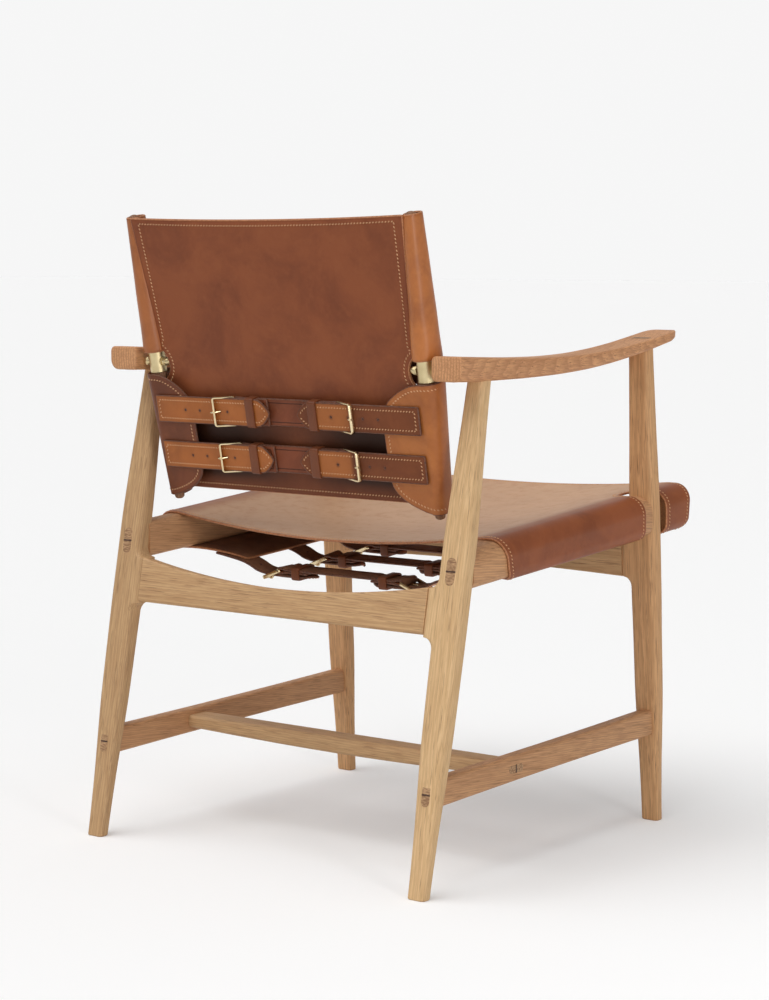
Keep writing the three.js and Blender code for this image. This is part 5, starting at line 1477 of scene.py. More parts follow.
@dataclass
class BackSling:
    """The back's leather: a panel, two sleeves above the pivots and two wraps with wings below.

    Attributes:
        leather, panel: thickness of the sleeves and wraps, and of the panel.
        top, bottom, sag: heights of the panel's ends, and how far its top edge dips.
        rear_top, rear_bottom: how far behind the rods its rear face lies.
        mouth: height at which a sleeve starts.
        edge_mouth, edge_top: how far in from the rod the panel's side edge lies.
        bow: how far its middle lies ahead of its sides.
        lining_out, lining_up, lining_step: a lining's reach in from the rod, up, and forward.
        sleeve_mouth, sleeve_less: half width, half depth and forward shift at a sleeve's mouth,
            and how much less they are at its top.
        front_length: the length of a wrap's leather ahead of the rod.
        notch, notch_drop: radius of the half-round notches and how far they lie below the pivot.
        wing_shares: the wing's outline as shares of its reach inwards and down.
    """

    back: BackPlace = field(default_factory=BackPlace)
    thread: Thread = field(default_factory=Thread)
    leather: float = 3.2
    panel: float = 5
    top: float = 193
    bottom: float = -172
    sag: float = 4
    half_width: float = 215
    rear_top: float = 12
    rear_bottom: float = -3.5
    mouth: float = 15.2
    edge_mouth: float = 15.4
    edge_top: float = 5.4
    bow: float = 1.6
    lining_out: tuple[float, float] = (35, 21.5)
    lining_up: tuple[float, float] = (-19, 17)
    lining_step: float = 7.4
    lining_run: float = 11
    lining_leather: float = 1.6
    sleeve_mouth: tuple[float, float, float] = (17, 22.5, 5.5)
    sleeve_less: tuple[float, float, float] = (6.2, 7.9, 1.5)
    wrap_top: float = -16
    wrap_bottom: float = -181
    wrap_top_radius: float = 16.2
    wrap_bottom_radius: float = 11
    wrap_top_hang: float = 14.8
    wrap_bottom_hang: float = 13
    front_length: float = 64
    wing_inner: float = 159
    wing_lift: float = 1.3
    notch: float = 25.2
    notch_drop: float = 3
    wing_shares: tuple[tuple[float, float], ...] = (
        (0, -0.001), (0.12, 0.0), (0.3, 0.012), (0.52, 0.05), (0.74, 0.105), (0.9, 0.165),
        (0.98, 0.23), (1, 0.3), (1, 0.74), (0.98, 0.79), (0.91, 0.84), (0.78, 0.89),
        (0.58, 0.935), (0.32, 0.975), (0.12, 0.995), (0, 1),
    )

    @property
    def tall(self) -> float:
        """The panel's height."""
        return self.top - self.bottom

    @property
    def wrap_tall(self) -> float:
        """A wrap's height."""
        return self.wrap_top - self.wrap_bottom

    @property
    def round_length(self) -> float:
        """The length of leather from the panel round the rod to where the wing starts."""
        radius = (self.wrap_top_radius + self.wrap_bottom_radius - self.leather) / 2
        return self.front_length + pi / 2 * radius

    def wrap_share(self, s: Array) -> Array:
        """The share of the way up a wrap at a height."""
        return np.clip((np.asarray(s, float) - self.wrap_bottom) / self.wrap_tall, 0, 1)

    def wrap_radius(self, s: Array) -> Array:
        """The wrap's radius round the rod at a height."""
        return self.wrap_bottom_radius + (self.wrap_top_radius - self.wrap_bottom_radius) * self.wrap_share(s)

    def rear(self, s: Array) -> Array:
        """How far behind the rods the panel's rear face lies at a height."""
        return self.rear_bottom + (self.rear_top - self.rear_bottom) * (s - self.bottom) / self.tall

    def panel_edge(self, s: Array) -> Array:
        """How far across the panel's side edge lies at a height."""
        share = np.clip((s - self.mouth) / (self.top - self.mouth), 0, 1)
        above = self.edge_mouth + (self.edge_top - self.edge_mouth) * share
        return self.back.rod_x(s) - np.where(s < self.mouth, self.wrap_radius(s) - self.leather / 2, above)

    def panel_place(self, x: Array, s: Array) -> Array:
        """The panel's middle surface: a slanted plane with a slow bow across and up, and ripples."""
        across = np.clip(x / self.half_width, -1, 1)
        bow = self.bow * np.cos(across * pi / 2) * np.sin((s - self.bottom) / self.tall * pi)
        ripple = 0.5 * np.sin(x / 61 + 1.1) * np.sin(s / 47)
        return stacked(x, s, self.rear(s) - self.panel / 2 - bow + ripple)

    def panel_surface(self) -> Surface:
        """The panel, its grid following its own side and top edges, cut round the two pivots."""
        across = np.linspace(-1, 1, 121)
        up = np.unique(np.concatenate([np.linspace(0, 1, 60), np.linspace(0.36, 0.58, 34)]))

        def spread(u: Array, w: Array) -> tuple[Array, Array]:
            """The place across and up the panel for a share across and a height."""
            u = u / self.half_width
            top = self.top - self.sag * (1 - u ** 2)
            s = self.bottom + w / self.tall * (top - self.bottom)
            return u * self.panel_edge(s), s

        def inside(u: Array, w: Array) -> Array:
            """How far a place lies within the panel's edge and outside its notches."""
            x, s = spread(u, w)
            edge = np.minimum(self.panel_edge(s) - np.abs(x), s - self.bottom)
            edge = np.minimum(edge, self.top - self.sag * (1 - (u / self.half_width) ** 2) - s)
            hole = np.hypot(np.abs(x) - self.back.rod_spread, s + self.notch_drop) - self.notch
            return np.minimum(edge + ON_EDGE, hole)

        flat, quads, away = trimmed(across * self.half_width, up * self.tall, inside)
        x, s = spread(flat[:, 0], flat[:, 1])
        return self.outward(thickened(self.panel_place(x, s), quads, stacked(x, s, away), self.panel, 0.3))

    def lining_surface(self) -> Surface:
        """The panel's front layer beside a pivot.

        It runs on past the notch, ahead of the acorn nut: a sheet that leaves the panel's front
        and moves forward by an eased step as it nears the tube.
        """
        start, stop = self.lining_out
        rows, columns = 26, 20
        u, s = np.meshgrid(np.linspace(start, stop, columns), np.linspace(*self.lining_up, rows))
        forward = self.lining_leather + self.lining_step * eased((start - u) / self.lining_run)
        points = stacked(self.back.rod_x(s) - u, s, -forward).reshape(-1, 3)
        place = stacked(u, s, 1.0).reshape(-1, 3)
        return self.outward(thickened(points, grid_quads(rows, columns, False), place, self.lining_leather))

    def outward(self, made: Surface) -> Surface:
        """Moves a piece of the back to its place in the chair, its grain side to the rear."""
        return faced_out(made.moved(self.back.world))

    def sleeve_surface(self) -> Surface:
        """The sleeve round a rod above the pivot.

        Each ring is an ellipse, wide and deep at the mouth and narrower at the top. Two slow
        waves crumple it a little near the mouth.
        """
        s = np.linspace(self.mouth, self.top, 46)[:, None]
        angle = np.linspace(0, 2 * pi, 56, endpoint=False)
        share = (s - self.mouth) / (self.top - self.mouth)
        wide, deep, ahead = (a - less * share for a, less in zip(self.sleeve_mouth, self.sleeve_less))
        crumple = 0.35 * np.sin(3 * angle + share * 5) * np.sin(share * 11) * (1 - share)
        half = self.leather / 2
        x = self.back.rod_x(s) + (wide - half + crumple) * np.cos(angle)
        points = stacked(x, s, (deep - half + crumple) * np.sin(angle) - ahead)
        place = stacked(s, angle * np.mean(deep), np.minimum(s - self.mouth, self.top - s))
        quads = grid_quads(len(s), len(angle), True)[:, ::-1]
        return self.outward(thickened(points.reshape(-1, 3), quads, place.reshape(-1, 3), self.leather))

    def wing_outline(self) -> Array:
        """The rear wing's outline from the wrap's top round to its bottom, across and up."""
        root = float(self.back.rod_x(self.wrap_top))
        inward, down = np.asarray(self.wing_shares).T
        across = root - inward * (root - self.wing_inner)
        return rounded(stacked(across, self.wrap_top - down * self.wrap_tall))

    def wrap_place(self, u: Array, s: Array) -> Array:
        """The wrap's middle surface.

        From nought the surface runs ahead of the rod in half an ellipse, from the panel's edge
        to the outside, then behind it in a quarter circle; past that it runs straight in, as
        the wing.
        """
        radius = self.wrap_radius(s) - self.leather / 2
        hang = self.wrap_bottom_hang + (self.wrap_top_hang - self.wrap_bottom_hang) * self.wrap_share(s)
        ahead = np.clip(u / self.front_length, 0, 1)
        behind = np.clip((u - self.front_length) / (self.round_length - self.front_length), 0, 1)
        angle = -pi + ahead * pi + behind * pi / 2
        past = np.clip(u - self.round_length, 0, None)
        crown = np.sin((s - self.wrap_bottom) / self.wrap_tall * pi)
        lift = self.wing_lift * np.clip(past / 60, 0, 1) ** 2 * crown
        deep = np.where(angle < 0, radius + hang, radius)
        return stacked(self.back.rod_x(s) + radius * np.cos(angle) - past, s, deep * np.sin(angle) + lift)

    def wrap_inside(self, u: Array, s: Array) -> Array:
        """How far a place on the wrap lies within its cut edge."""
        edge = np.minimum(self.wrap_top - s, s - self.wrap_bottom) + ON_EDGE
        across = u - self.round_length
        line = self.wing_outline()
        place = stacked(self.back.rod_x(s) - across, s)
        a, step = line[:-1], np.diff(line, axis=0)
        t = np.clip(((place[:, None] - a) * step).sum(-1) / (step ** 2).sum(-1), 0, 1)
        gap = np.linalg.norm(place[:, None] - (a + t[..., None] * step), axis=-1)
        nearest = np.argmin(gap, axis=1)
        d = place - a[nearest]
        turn = step[nearest, 0] * d[:, 1] - step[nearest, 1] * d[:, 0]
        wing = np.where(turn > 0, 1, -1) * gap.min(axis=1)
        return np.where(across > 2, np.minimum(wing, edge), edge)

    def wrap_surface(self) -> Surface:
        """The wrap and its wing as one sheet."""
        start = self.round_length
        reach = start + float(self.back.rod_x(self.wrap_top)) - self.wing_inner + 4
        us = np.concatenate([np.linspace(0, start, 44)[:-1], np.arange(start, reach, 2.0)])
        vs = np.linspace(self.wrap_bottom, self.wrap_top, 84)
        flat, quads, away = trimmed(us, vs, self.wrap_inside)
        u, s = flat.T
        made = thickened(self.wrap_place(u, s), quads[:, ::-1], stacked(u, s, away), self.leather)
        return self.outward(made)

    def sewn(self, across_up: Array, surface: Wave, lift: float) -> Surface:
        """Stitches along a line of places on a surface of the back, behind it or, below nought, ahead."""
        here, normal = on_surface(surface, across_up)
        normal = normal * np.where(normal[:, 2:] * lift < 0, -1, 1)
        return self.thread.sewn(self.back.world(here + normal * abs(lift)), self.back.turn(normal))

    def panel_stitches(self, face: int) -> Surface:
        """The panel's stitches on its rear (1) or front (-1) face: sides, top, foot and pivots."""
        inset, ring, arc_from, side_top, side_mouth = 6.2, self.notch + 6, 30, 17.8, 21.5
        s = np.linspace(self.top - inset, arc_from, 60)
        share = (self.top - s) / (self.top - self.mouth)
        start = stacked(self.back.rod_x(s) - (side_top + (side_mouth - side_top) * share), s)
        centre = np.array([self.back.rod_spread, -self.notch_drop])
        begin = atan2(arc_from - centre[1], float(start[-1, 0]) - centre[0]) % (2 * pi)
        turn = np.linspace(begin, 1.5 * pi - 0.75, 40)
        arc = centre + ring * stacked(np.cos(turn), np.sin(turn))
        down = np.linspace(float(arc[-1, 1]) - 4, self.bottom + inset, 40)
        low = stacked(self.panel_edge(down) - 7, down)
        half = np.concatenate([start, arc, low])
        u = np.linspace(-1, 1, 80)
        across = stacked(u * float(start[0, 0]), self.top - inset - self.sag * (1 - u ** 2))
        foot = stacked(u * float(low[-1, 0]), self.bottom + inset)
        lift = face * (self.panel / 2 + 0.1)
        return Surface.joined([
            self.sewn(line, self.panel_place, lift) for line in (half, half * (-1, 1), across, foot)
        ])

    def wing_stitches(self) -> Surface:
        """Stitches round the wing and along the wrap's two ends."""
        inset, wrap_start = 6, self.round_length * 0.45
        outline = spaced(self.wing_outline(), 2.0)
        along = unit(np.gradient(outline, axis=0))
        inner = outline + inset * stacked(-along[:, 1], along[:, 0])
        x, s = inner[inner[:, 0] < float(self.back.rod_x(0)) - 1].T
        u = self.round_length + self.back.rod_x(s) - x
        head = stacked(np.linspace(wrap_start, float(u[0]), 20), s[0])
        tail = stacked(np.linspace(float(u[-1]), wrap_start, 20), s[-1])
        line = np.concatenate([head[:-1], stacked(u, s), tail[1:]])
        return self.sewn(line, self.wrap_place, self.leather / 2 + 0.1)

    def build(self, shop: Workshop) -> None:
        """Makes the back's leather and its stitches."""
        body = Body.BACK
        panel = shop.piece(
            "back_panel", self.panel_surface(), body, "panel_leather", "panel_edge", "panel_front_leather",
            node="back_sling",
        )
        sleeves = shop.pair(
            "back_sleeve", self.sleeve_surface(), body, "sleeve_leather_{side}", "panel_edge", "flesh_side",
        )
        wraps = shop.pair(
            "back_wing", self.wrap_surface(), body, "wing_leather_{side}", "burnished_edge", "flesh_side",
        )
        # The lining's dark leather is painted shade round the acorn nut.
        lining = ("lining_leather", "lining_leather", "panel_front_leather")
        shop.pair("back_panel_lining", self.lining_surface(), body, *lining)
        stitches = Surface.joined([self.panel_stitches(1), self.panel_stitches(-1)])
        shop.piece("back_panel_stitches", stitches, body, "waxed_thread")
        shop.pair("back_wing_stitches", self.wing_stitches(), body, "waxed_thread")


def level(gone: Array, across: Array) -> Array:
    """The wave of a strap that lies flat: none."""
    return 0 * gone


@dataclass
class StrapRow:
    """One row of straps: a centre strap with a buckle at each end and the two billets.

    Its own places are out from the middle, along the straps' width and outwards from the
    billets' inner face.

    Attributes:
        buckle, keeper, tip: how far out a buckle's outer bar, a keeper and a billet's tip lie.
        fold: how far out the centre strap's folded end lies.
        sewn_end: how far out a billet is sewn down.
        strap, gap: a strap's thickness, and the play between two of them.
        wire_radius, eye_wall: the inner bar's radius, and the depth of the leather round it.
        bar_width, bar_depth: half the section of a buckle's frame.
        inset: distance of the stitches from the edge.
        point: length of a billet's pointed tip.
    """

    buckle: float
    keeper: float
    tip: float
    fold: float
    width: float
    sewn_end: float
    strap: float = 3.4
    gap: float = 0.3
    wire_radius: float = 1.6
    wire_gap: float = 0.2
    buckle_length: float = 28
    buckle_corner: float = 2.6
    eye_wall: float = 3
    bar_width: float = 1.45
    bar_depth: float = 2.6
    hole_radius: float = 2
    keeper_play: float = 1.2
    keeper_corner: float = 2.4
    keeper_half: tuple[float, float] = (1.5, 6.6)
    ring_radius: float = 3.2
    inset: float = 4.8
    point: float = 19
    thread: Thread = field(default_factory=lambda: Thread(4.5, 0.64, 0.82, 0.65))

    @property
    def eye(self) -> tuple[float, float]:
        """The buckle's inner bar: how far out and how deep it lies."""
        return self.buckle - self.buckle_length, -self.gap - self.wire_radius - self.wire_gap - self.eye_wall

    def width_at(self, gone: Array) -> Array:
        """Half a billet's width at a distance from its tip, a pointed arch with an eased point."""
        share = np.clip(gone / self.point, 0, 1)
        return self.width / 2 * (1 - (1 - share) ** 1.5) ** 0.85

    def band(self, path: Array, half: Callable[[Array], Array], holes: Sequence[float], hole_radius: float,
             wave: Wave) -> Surface:
        """A flat strap along a path of places out and outwards.

        Its grid runs along the path and from one edge to the other, so both edges are exact;
        each hole is a round cut on the middle line.

        Args:
            path: (n, 2) the middle of the strap's thickness, evenly spaced.
            half: half the width at a distance along.
            holes: distances of the holes along the strap.
            hole_radius: their radius, which also sets how fine the grid is on the middle line.
            wave: extra height at a distance along and a share across.

        Returns:
            The strap in the row's own places.
        """
        gone = gone_along(path)
        length = float(gone[-1])
        near = [np.linspace(h - 2 * hole_radius, h + 2 * hole_radius, 11) for h in holes]
        us = np.unique(np.round(np.concatenate([
            np.linspace(0, length, max(8, int(length / 2.4))),
            length * np.linspace(0, 1, 6) ** 2 * 0.05, *near,
        ]), 3))
        us = us[(us >= 0.12) & (us <= length)]
        middle = np.linspace(-2.2 * hole_radius, 2.2 * hole_radius, 9) / (self.width / 2)
        vs = np.unique(np.concatenate([np.linspace(-1, 1, 15), middle]))

        def inside(u: Array, v: Array) -> Array:
            """How far a place lies within the strap's edge and outside its holes."""
            edge = np.minimum(np.minimum(u - us[0], us[-1] - u), (1 - np.abs(v)) * half(u)) + ON_EDGE
            for h in holes:
                edge = np.minimum(edge, np.hypot(u - h, v * half(u)) - hole_radius)
            return edge

        flat, quads, away = trimmed(us, vs, inside)
        u, v = flat.T
        out, rise = read_columns(u, gone, path).T
        across = v * half(u)
        return thickened(stacked(out, across, rise + wave(u, v)), quads, stacked(u, across, away), self.strap)

    def billet_path(self, bends: Sequence[Sequence[float]]) -> Array:
        """A billet's middle line from its tip out through its bends to its sewn end."""
        middle = self.strap / 2
        return spaced(rounded([(self.tip, middle), *[(x, z + middle) for x, z in bends]]), 1.5)

    def billet(self, path: Array, holes: Sequence[float], wave: Wave = level) -> Surface:
        """A billet with a pointed tip and punched holes."""
        return self.band(path, self.width_at, [h - self.tip for h in holes], self.hole_radius, wave)

    def billet_stitches(self, path: Array, wave: Wave = level) -> Surface:
        """Stitches round a billet, an even distance in from its edge."""
        gone = gone_along(path)
        u = np.linspace(self.inset, float(gone[-1]) - self.inset, 160)
        half = np.maximum(self.width_at(u) - self.inset, 0)
        made = []
        end = stacked(u[-1], np.linspace(-half[-1], half[-1], 9))
        for line in (stacked(u, half), stacked(u, -half), end):
            u, across = spaced(line, 1.5).T
            out, rise = read_columns(u, gone, path).T
            lean = np.interp(u + 1, gone, path[:, 1]) - np.interp(u - 1, gone, path[:, 1])
            normal = unit(stacked(-lean / 2, 0, 1))
            rise = rise + wave(u, across / self.width_at(u))
            on_top = stacked(out, across, rise) + normal * (self.strap / 2 + 0.05)
            made.append(self.thread.sewn(on_top, normal))
        return Surface.joined(made)

    def centre(self, wave: Wave = level) -> Surface:
        """The centre strap: straight across, round each buckle's inner bar and folded back.

        Its middle line is the long layer, half a circle about each bar, and the return layer,
        which lies on the long one.
        """
        x, z = self.eye
        radius = self.wire_radius + self.wire_gap + self.strap / 2 + 0.1
        turn = np.linspace(-pi / 2, pi / 2, 13)
        middle = self.strap / 2
        half = np.concatenate([
            [(0, z - middle), (x - 12, z - middle), (x - 3, z - radius + 0.2)],
            stacked(x + radius * np.cos(turn), z + radius * np.sin(turn)),
            [(x - 4, z + radius - 0.3), (x - 12, z + middle), (self.fold, z + middle)],
        ])
        path = spaced(np.concatenate([half[::-1] * (-1, 1), half[1:]]), 1.6)
        return self.band(path, lambda u: np.full(np.shape(u), self.width / 2), [], 1.5, wave)

    def keeper_loop(self) -> Surface:
        """A keeper: a flat loop round both straps, its section a rounded box."""
        around = self.gap + self.keeper_play
        wide = self.width / 2 + around
        ring = sections(
            (-wide, self.eye[1] - self.strap - around), (wide, self.strap + around), self.keeper_corner,
        )[0]
        return wire(stacked(self.keeper, ring[:, 0], ring[:, 1]), (1, 0, 0), *self.keeper_half, True, 0.34)

    def frame_loop(self) -> Surface:
        """The buckle's frame: a flat bar round a rectangle that leans up to its outer bar."""
        x, z = self.eye
        half = self.width / 2 + self.gap + self.bar_width
        rise = self.strap + self.gap + self.bar_depth - z
        tilt, length = atan2(rise, self.buckle_length), hypot(rise, self.buckle_length)
        along, across = sections((0, -half), (length, half), self.buckle_corner)[0].T
        path = stacked(x + along * cos(tilt), across, z + along * sin(tilt))
        return wire(path, (-sin(tilt), 0, cos(tilt)), self.bar_width, self.bar_depth, True, 0.5)

    def tongue(self) -> Surface:
        """The tongue: a ring round the inner bar and a point through the strap over the outer bar."""
        x, z = self.eye
        turn = np.linspace(0, 2 * pi, 24, endpoint=False)
        loop = stacked(x + self.ring_radius * np.cos(turn), 0, z + self.ring_radius * np.sin(turn))
        over = self.strap + self.gap + self.bar_depth * 2 + 1.1
        hole = self.buckle - self.buckle_length / 4
        line = rounded([
            (x + 3, -1.6), (hole - 2, -1.2), (hole, self.strap / 2), (self.buckle - 2.4, over - 0.4),
            (self.buckle, over), (self.buckle + 2.8, over - 0.5),
        ], 2)
        point = wire(stacked(line[:, 0], 0, line[:, 1]), (0, 1, 0), 1.15, 1.45, False)
        return Surface.joined([wire(loop, (0, 1, 0), 1.2, 1.5, True), point])


@dataclass
class BackStraps:
    """The two rows of straps behind the back.

    Attributes:
        heights: each row's name and its height along the back from the pivot.
        holes: how far out the holes of the billets of each side lie.
        ends: how far out each keeper and each billet's tip lies.
    """

    sling: BackSling = field(default_factory=BackSling)
    row: StrapRow = field(default_factory=lambda: StrapRow(114, 50, 24, 30, 34, 217))
    heights: tuple[tuple[str, float], ...] = (("upper", -60), ("lower", -122.5))
    holes: tuple[tuple[str, tuple[float, ...]], ...] = (
        ("left", (94, 107, 142, 167)), ("right", (79, 107, 130, 154)),
    )
    ends: tuple[tuple[str, float, float], ...] = (
        ("upper_left", 54, 24), ("upper_right", 50, 24), ("lower_left", 59, 29), ("lower_right", 43, 18),
    )

    def build(self, shop: Workshop) -> None:
        """Makes each row's straps, keepers, buckles and stitches."""
        row, body = self.row, Body.BACK
        own = {name: replace(row, keeper=keeper, tip=tip) for name, keeper, tip in self.ends}
        for name, s in self.heights:
            base = float(self.sling.wrap_radius(s + row.width / 2)) + row.gap

            def place(made: Surface, side: str = "left", start: float = base, up: float = s) -> Surface:
                """Moves a piece of the row to its height, on one side of the back."""
                placed = self.sling.outward(made.moved(lambda p: p + (0, up, start)))
                return placed if side == "left" else placed.mirrored()

            for side, holes in self.holes:
                end = f"{name}_{side}"
                path = own[end].billet_path([(120, 0), (170, 0.4), (row.sewn_end, 0.2)])
                billet = place(own[end].billet(path, holes), side)
                looks = (f"billet_leather_{side}", "burnished_edge", "flesh_side")
                shop.piece(f"back_billet_{end}", billet, body, *looks)
                shop.piece(f"back_keeper_{end}", place(own[end].keeper_loop(), side), body, "keeper_leather")
                stitches = place(own[end].billet_stitches(path), side)
                shop.piece(f"back_strap_stitches_{end}", stitches, body, "waxed_thread")
            strap = ("centre_strap_leather", "burnished_edge", "centre_strap_leather")
            shop.piece(f"back_centre_strap_{name}", place(row.centre()), body, *strap)
            shop.pair(f"back_buckle_frame_{name}", place(row.frame_loop()), body, "polished_brass")
            shop.pair(f"back_buckle_tongue_{name}", place(row.tongue()), body, "polished_brass")


@dataclass
class SeatSling:
    """The seat's leather: over both side rails, round them and turned in beneath as two wings.

    Attributes:
        rear, front: where its two ends lie along the chair.
        sag_rear, sag_front, sag_middle: how far it sags at its ends, and how much more between.
        rest: how far out it leaves the air and lies on the rail.
        drop_length: length of leather that hangs straight down outside the rail.
        wing_root, wing_edge, wing_drop: how far out a wing starts and ends, and how far it drops.
        rear_slant, nose_slant: how far the two ends are cut back at the wings' inner edges.
        cut_shares: how much of that is reached at each bend.
        wing_front, wing_end: where a wing starts to narrow and where it ends.
        hole_y, hole_width, hole_inner: place, width and inner end of the openings for the legs.
    """

    oak: OakFrame = field(default_factory=OakFrame)
    thread: Thread = field(default_factory=Thread)
    leather: float = 3.2
    gap: float = 0.3
    rear: float = 119
    front: float = -325
    sag_rear: float = 20
    sag_front: float = 13
    sag_middle: float = 7
    rest: float = 256
    drop_length: float = 14
    wing_root: float = 255
    wing_edge: float = 163
    wing_drop: float = 11
    rear_slant: float = 38
    nose_slant: float = 30
    cut_shares: tuple[float, ...] = (0, 0.385, 0.46, 0.77, 0.846, 1)
    wing_front: float = -165
    wing_end: float = -198
    hole_y: float = -234.5
    hole_width: float = 55
    hole_inner: float = 236
    stitch_inset: float = 6

    @property
    def skin(self) -> float:
        """From the wood to the middle of the leather on it."""
        return self.gap + self.leather / 2

    @property
    def stations(self) -> tuple[float, ...]:
        """Distances across at which the sheet turns down, drops, turns in, runs in and forms its wing."""
        _, under, over, _ = self.oak.rail_rounds
        top = float(self.oak.rail_outer - over)
        a = top + (over + self.skin) * pi / 2
        b = a + self.drop_length
        c = b + (under + self.skin) * pi / 2
        inner = c + self.oak.rail_outer - under
        return top, a, b, c, inner - self.wing_root, inner - self.wing_edge

    def place(self, q: Array, y: Array) -> Array:
        """The sheet's middle surface at a distance across and a place along the chair.

        Between the rails it sags by a parabola; then it lies flat on the rail, turns a quarter
        circle, drops straight, turns another quarter and runs in under the seat, dropping by
        the square of the distance.
        """
        top_x, a, b, c, _, _ = self.stations
        _, under, over, _ = self.oak.rail_rounds
        d, side = np.abs(q), np.where(q < 0, -1.0, 1.0)
        high, low = self.oak.rail_z(y)
        share = (self.rear - y) / (self.rear - self.front)
        sag = self.sag_rear + (self.sag_front - self.sag_rear) * share
        sag = sag + self.sag_middle * 4 * share * (1 - share)
        r1, r2 = over + self.skin, under + self.skin
        a1, a2 = np.clip((d - top_x) / r1, 0, pi / 2), np.clip((d - b) / r2, 0, pi / 2)
        drop = np.clip((d - a) / (b - a), 0, 1) * (high - over - low - under)
        inward = np.clip(d - c, 0, None)
        x = np.minimum(d, top_x) + r1 * np.sin(a1) - r2 * (1 - np.cos(a2)) - inward
        beneath = np.clip((self.wing_root - x) / (self.wing_root - self.wing_edge), 0, None) * (inward > 0)
        z = high + self.skin - sag * (1 - np.clip(d / self.rest, 0, 1) ** 2) - r1 * (1 - np.cos(a1)) - drop
        return stacked(side * x, y, z - r2 * np.sin(a2) - self.wing_drop * beneath ** 2)

    def ends(self, q: Array) -> tuple[Array, Array]:
        """Where the sheet's rear and front edges lie at a distance across."""
        back = np.interp(np.abs(q), self.stations, self.cut_shares) ** 2
        return self.rear - self.rear_slant * back, self.front + self.nose_slant * back

    def reach(self, y: Array) -> Array:
        """How far across the wing's inner edge lies along the chair."""
        share = np.clip((self.wing_front - y) / (self.wing_front - self.wing_end), 0, 1)
        inner = self.wing_edge + (self.wing_root - self.leather - self.wing_edge) * share ** 2
        return self.stations[-2] + self.wing_root - inner

    def inside(self, q: Array, y: Array) -> Array:
        """How far a place lies within the sheet's cut edge, the slant of its ends allowed for."""
        rear, front = self.ends(q)
        slope = np.hypot(1, 0.45)
        edge = np.minimum(rear - y, y - front) / np.where(np.abs(q) > self.stations[0], slope, 1)
        edge = np.minimum(edge, (self.reach(y) - np.abs(q)) / np.where(y < self.wing_front, 3, 1))
        half = self.hole_width / 2
        hole = np.hypot(np.minimum(np.abs(q) - self.hole_inner - half, 0), y - self.hole_y) - half
        return np.minimum(edge, hole)

    def surface(self) -> Surface:
        """The whole sheet."""
        flat_to, near = self.stations[0] - 44, self.hole_width / 2 + 4
        bends = np.arange(flat_to, self.stations[-1] + 4, 2.6)
        qs = np.unique(np.round(np.concatenate([np.linspace(0, flat_to, 34), bends]), 3))
        ys = np.unique(np.round(np.concatenate([
            np.linspace(self.front, self.rear, 90), np.arange(self.hole_y - near, self.hole_y + near, 2.0),
            np.arange(self.rear - 41, self.rear, 2.4), np.arange(self.front, self.front + 31, 2.4),
        ]), 3))
        flat, quads, away = trimmed(np.concatenate([-qs[:0:-1], qs]), ys, self.inside)
        q, y = flat.T
        return faced_out(thickened(self.place(q, y), quads, stacked(q, y, away), self.leather))

    def sewn(self, line: Array) -> Surface:
        """Stitches along a line of places across and along the chair, on the sheet's outside."""
        here, normal = on_surface(self.place, line)
        return self.thread.sewn(here + normal * (self.leather / 2 + 0.1), normal)

    def stitches(self) -> Surface:
        """Stitches along both ends, round the leg openings and along the wings' inner edges."""
        inset, outer, turned_in = self.stitch_inset, self.stations[-1] - self.stitch_inset, self.stations[3]
        q = np.linspace(-outer, outer, 300)
        rear, front = self.ends(q)
        fore = stacked(q, front + inset)[np.abs(q) < turned_in + 14]
        half = self.hole_width / 2 + inset
        turn = np.linspace(pi / 2, 1.5 * pi, 40)
        centre = self.hole_inner + self.hole_width / 2
        run = np.linspace(turned_in + 20, centre, 30)
        hole = np.concatenate([
            stacked(run, self.hole_y + half),
            stacked(centre + half * np.cos(turn), self.hole_y + half * np.sin(turn)),
            stacked(run[::-1], self.hole_y - half),
        ])
        wing = stacked(outer, np.linspace(float(self.ends(outer)[0]) - inset, self.wing_front, 60))
        lines = [stacked(q, rear - inset), fore, hole, hole * (-1, 1), wing, wing * (-1, 1)]
        return Surface.joined([self.sewn(line) for line in lines])

    def build(self, shop: Workshop) -> None:
        """Makes the seat's sheet and its stitches."""
        seat = shop.piece(
            "seat_leather", self.surface(), Body.FRAME, "seat_leather", "panel_edge", "flesh_side",
            node="seat_sling",
        )
        shop.piece("seat_stitches", self.stitches(), Body.FRAME, "waxed_thread")


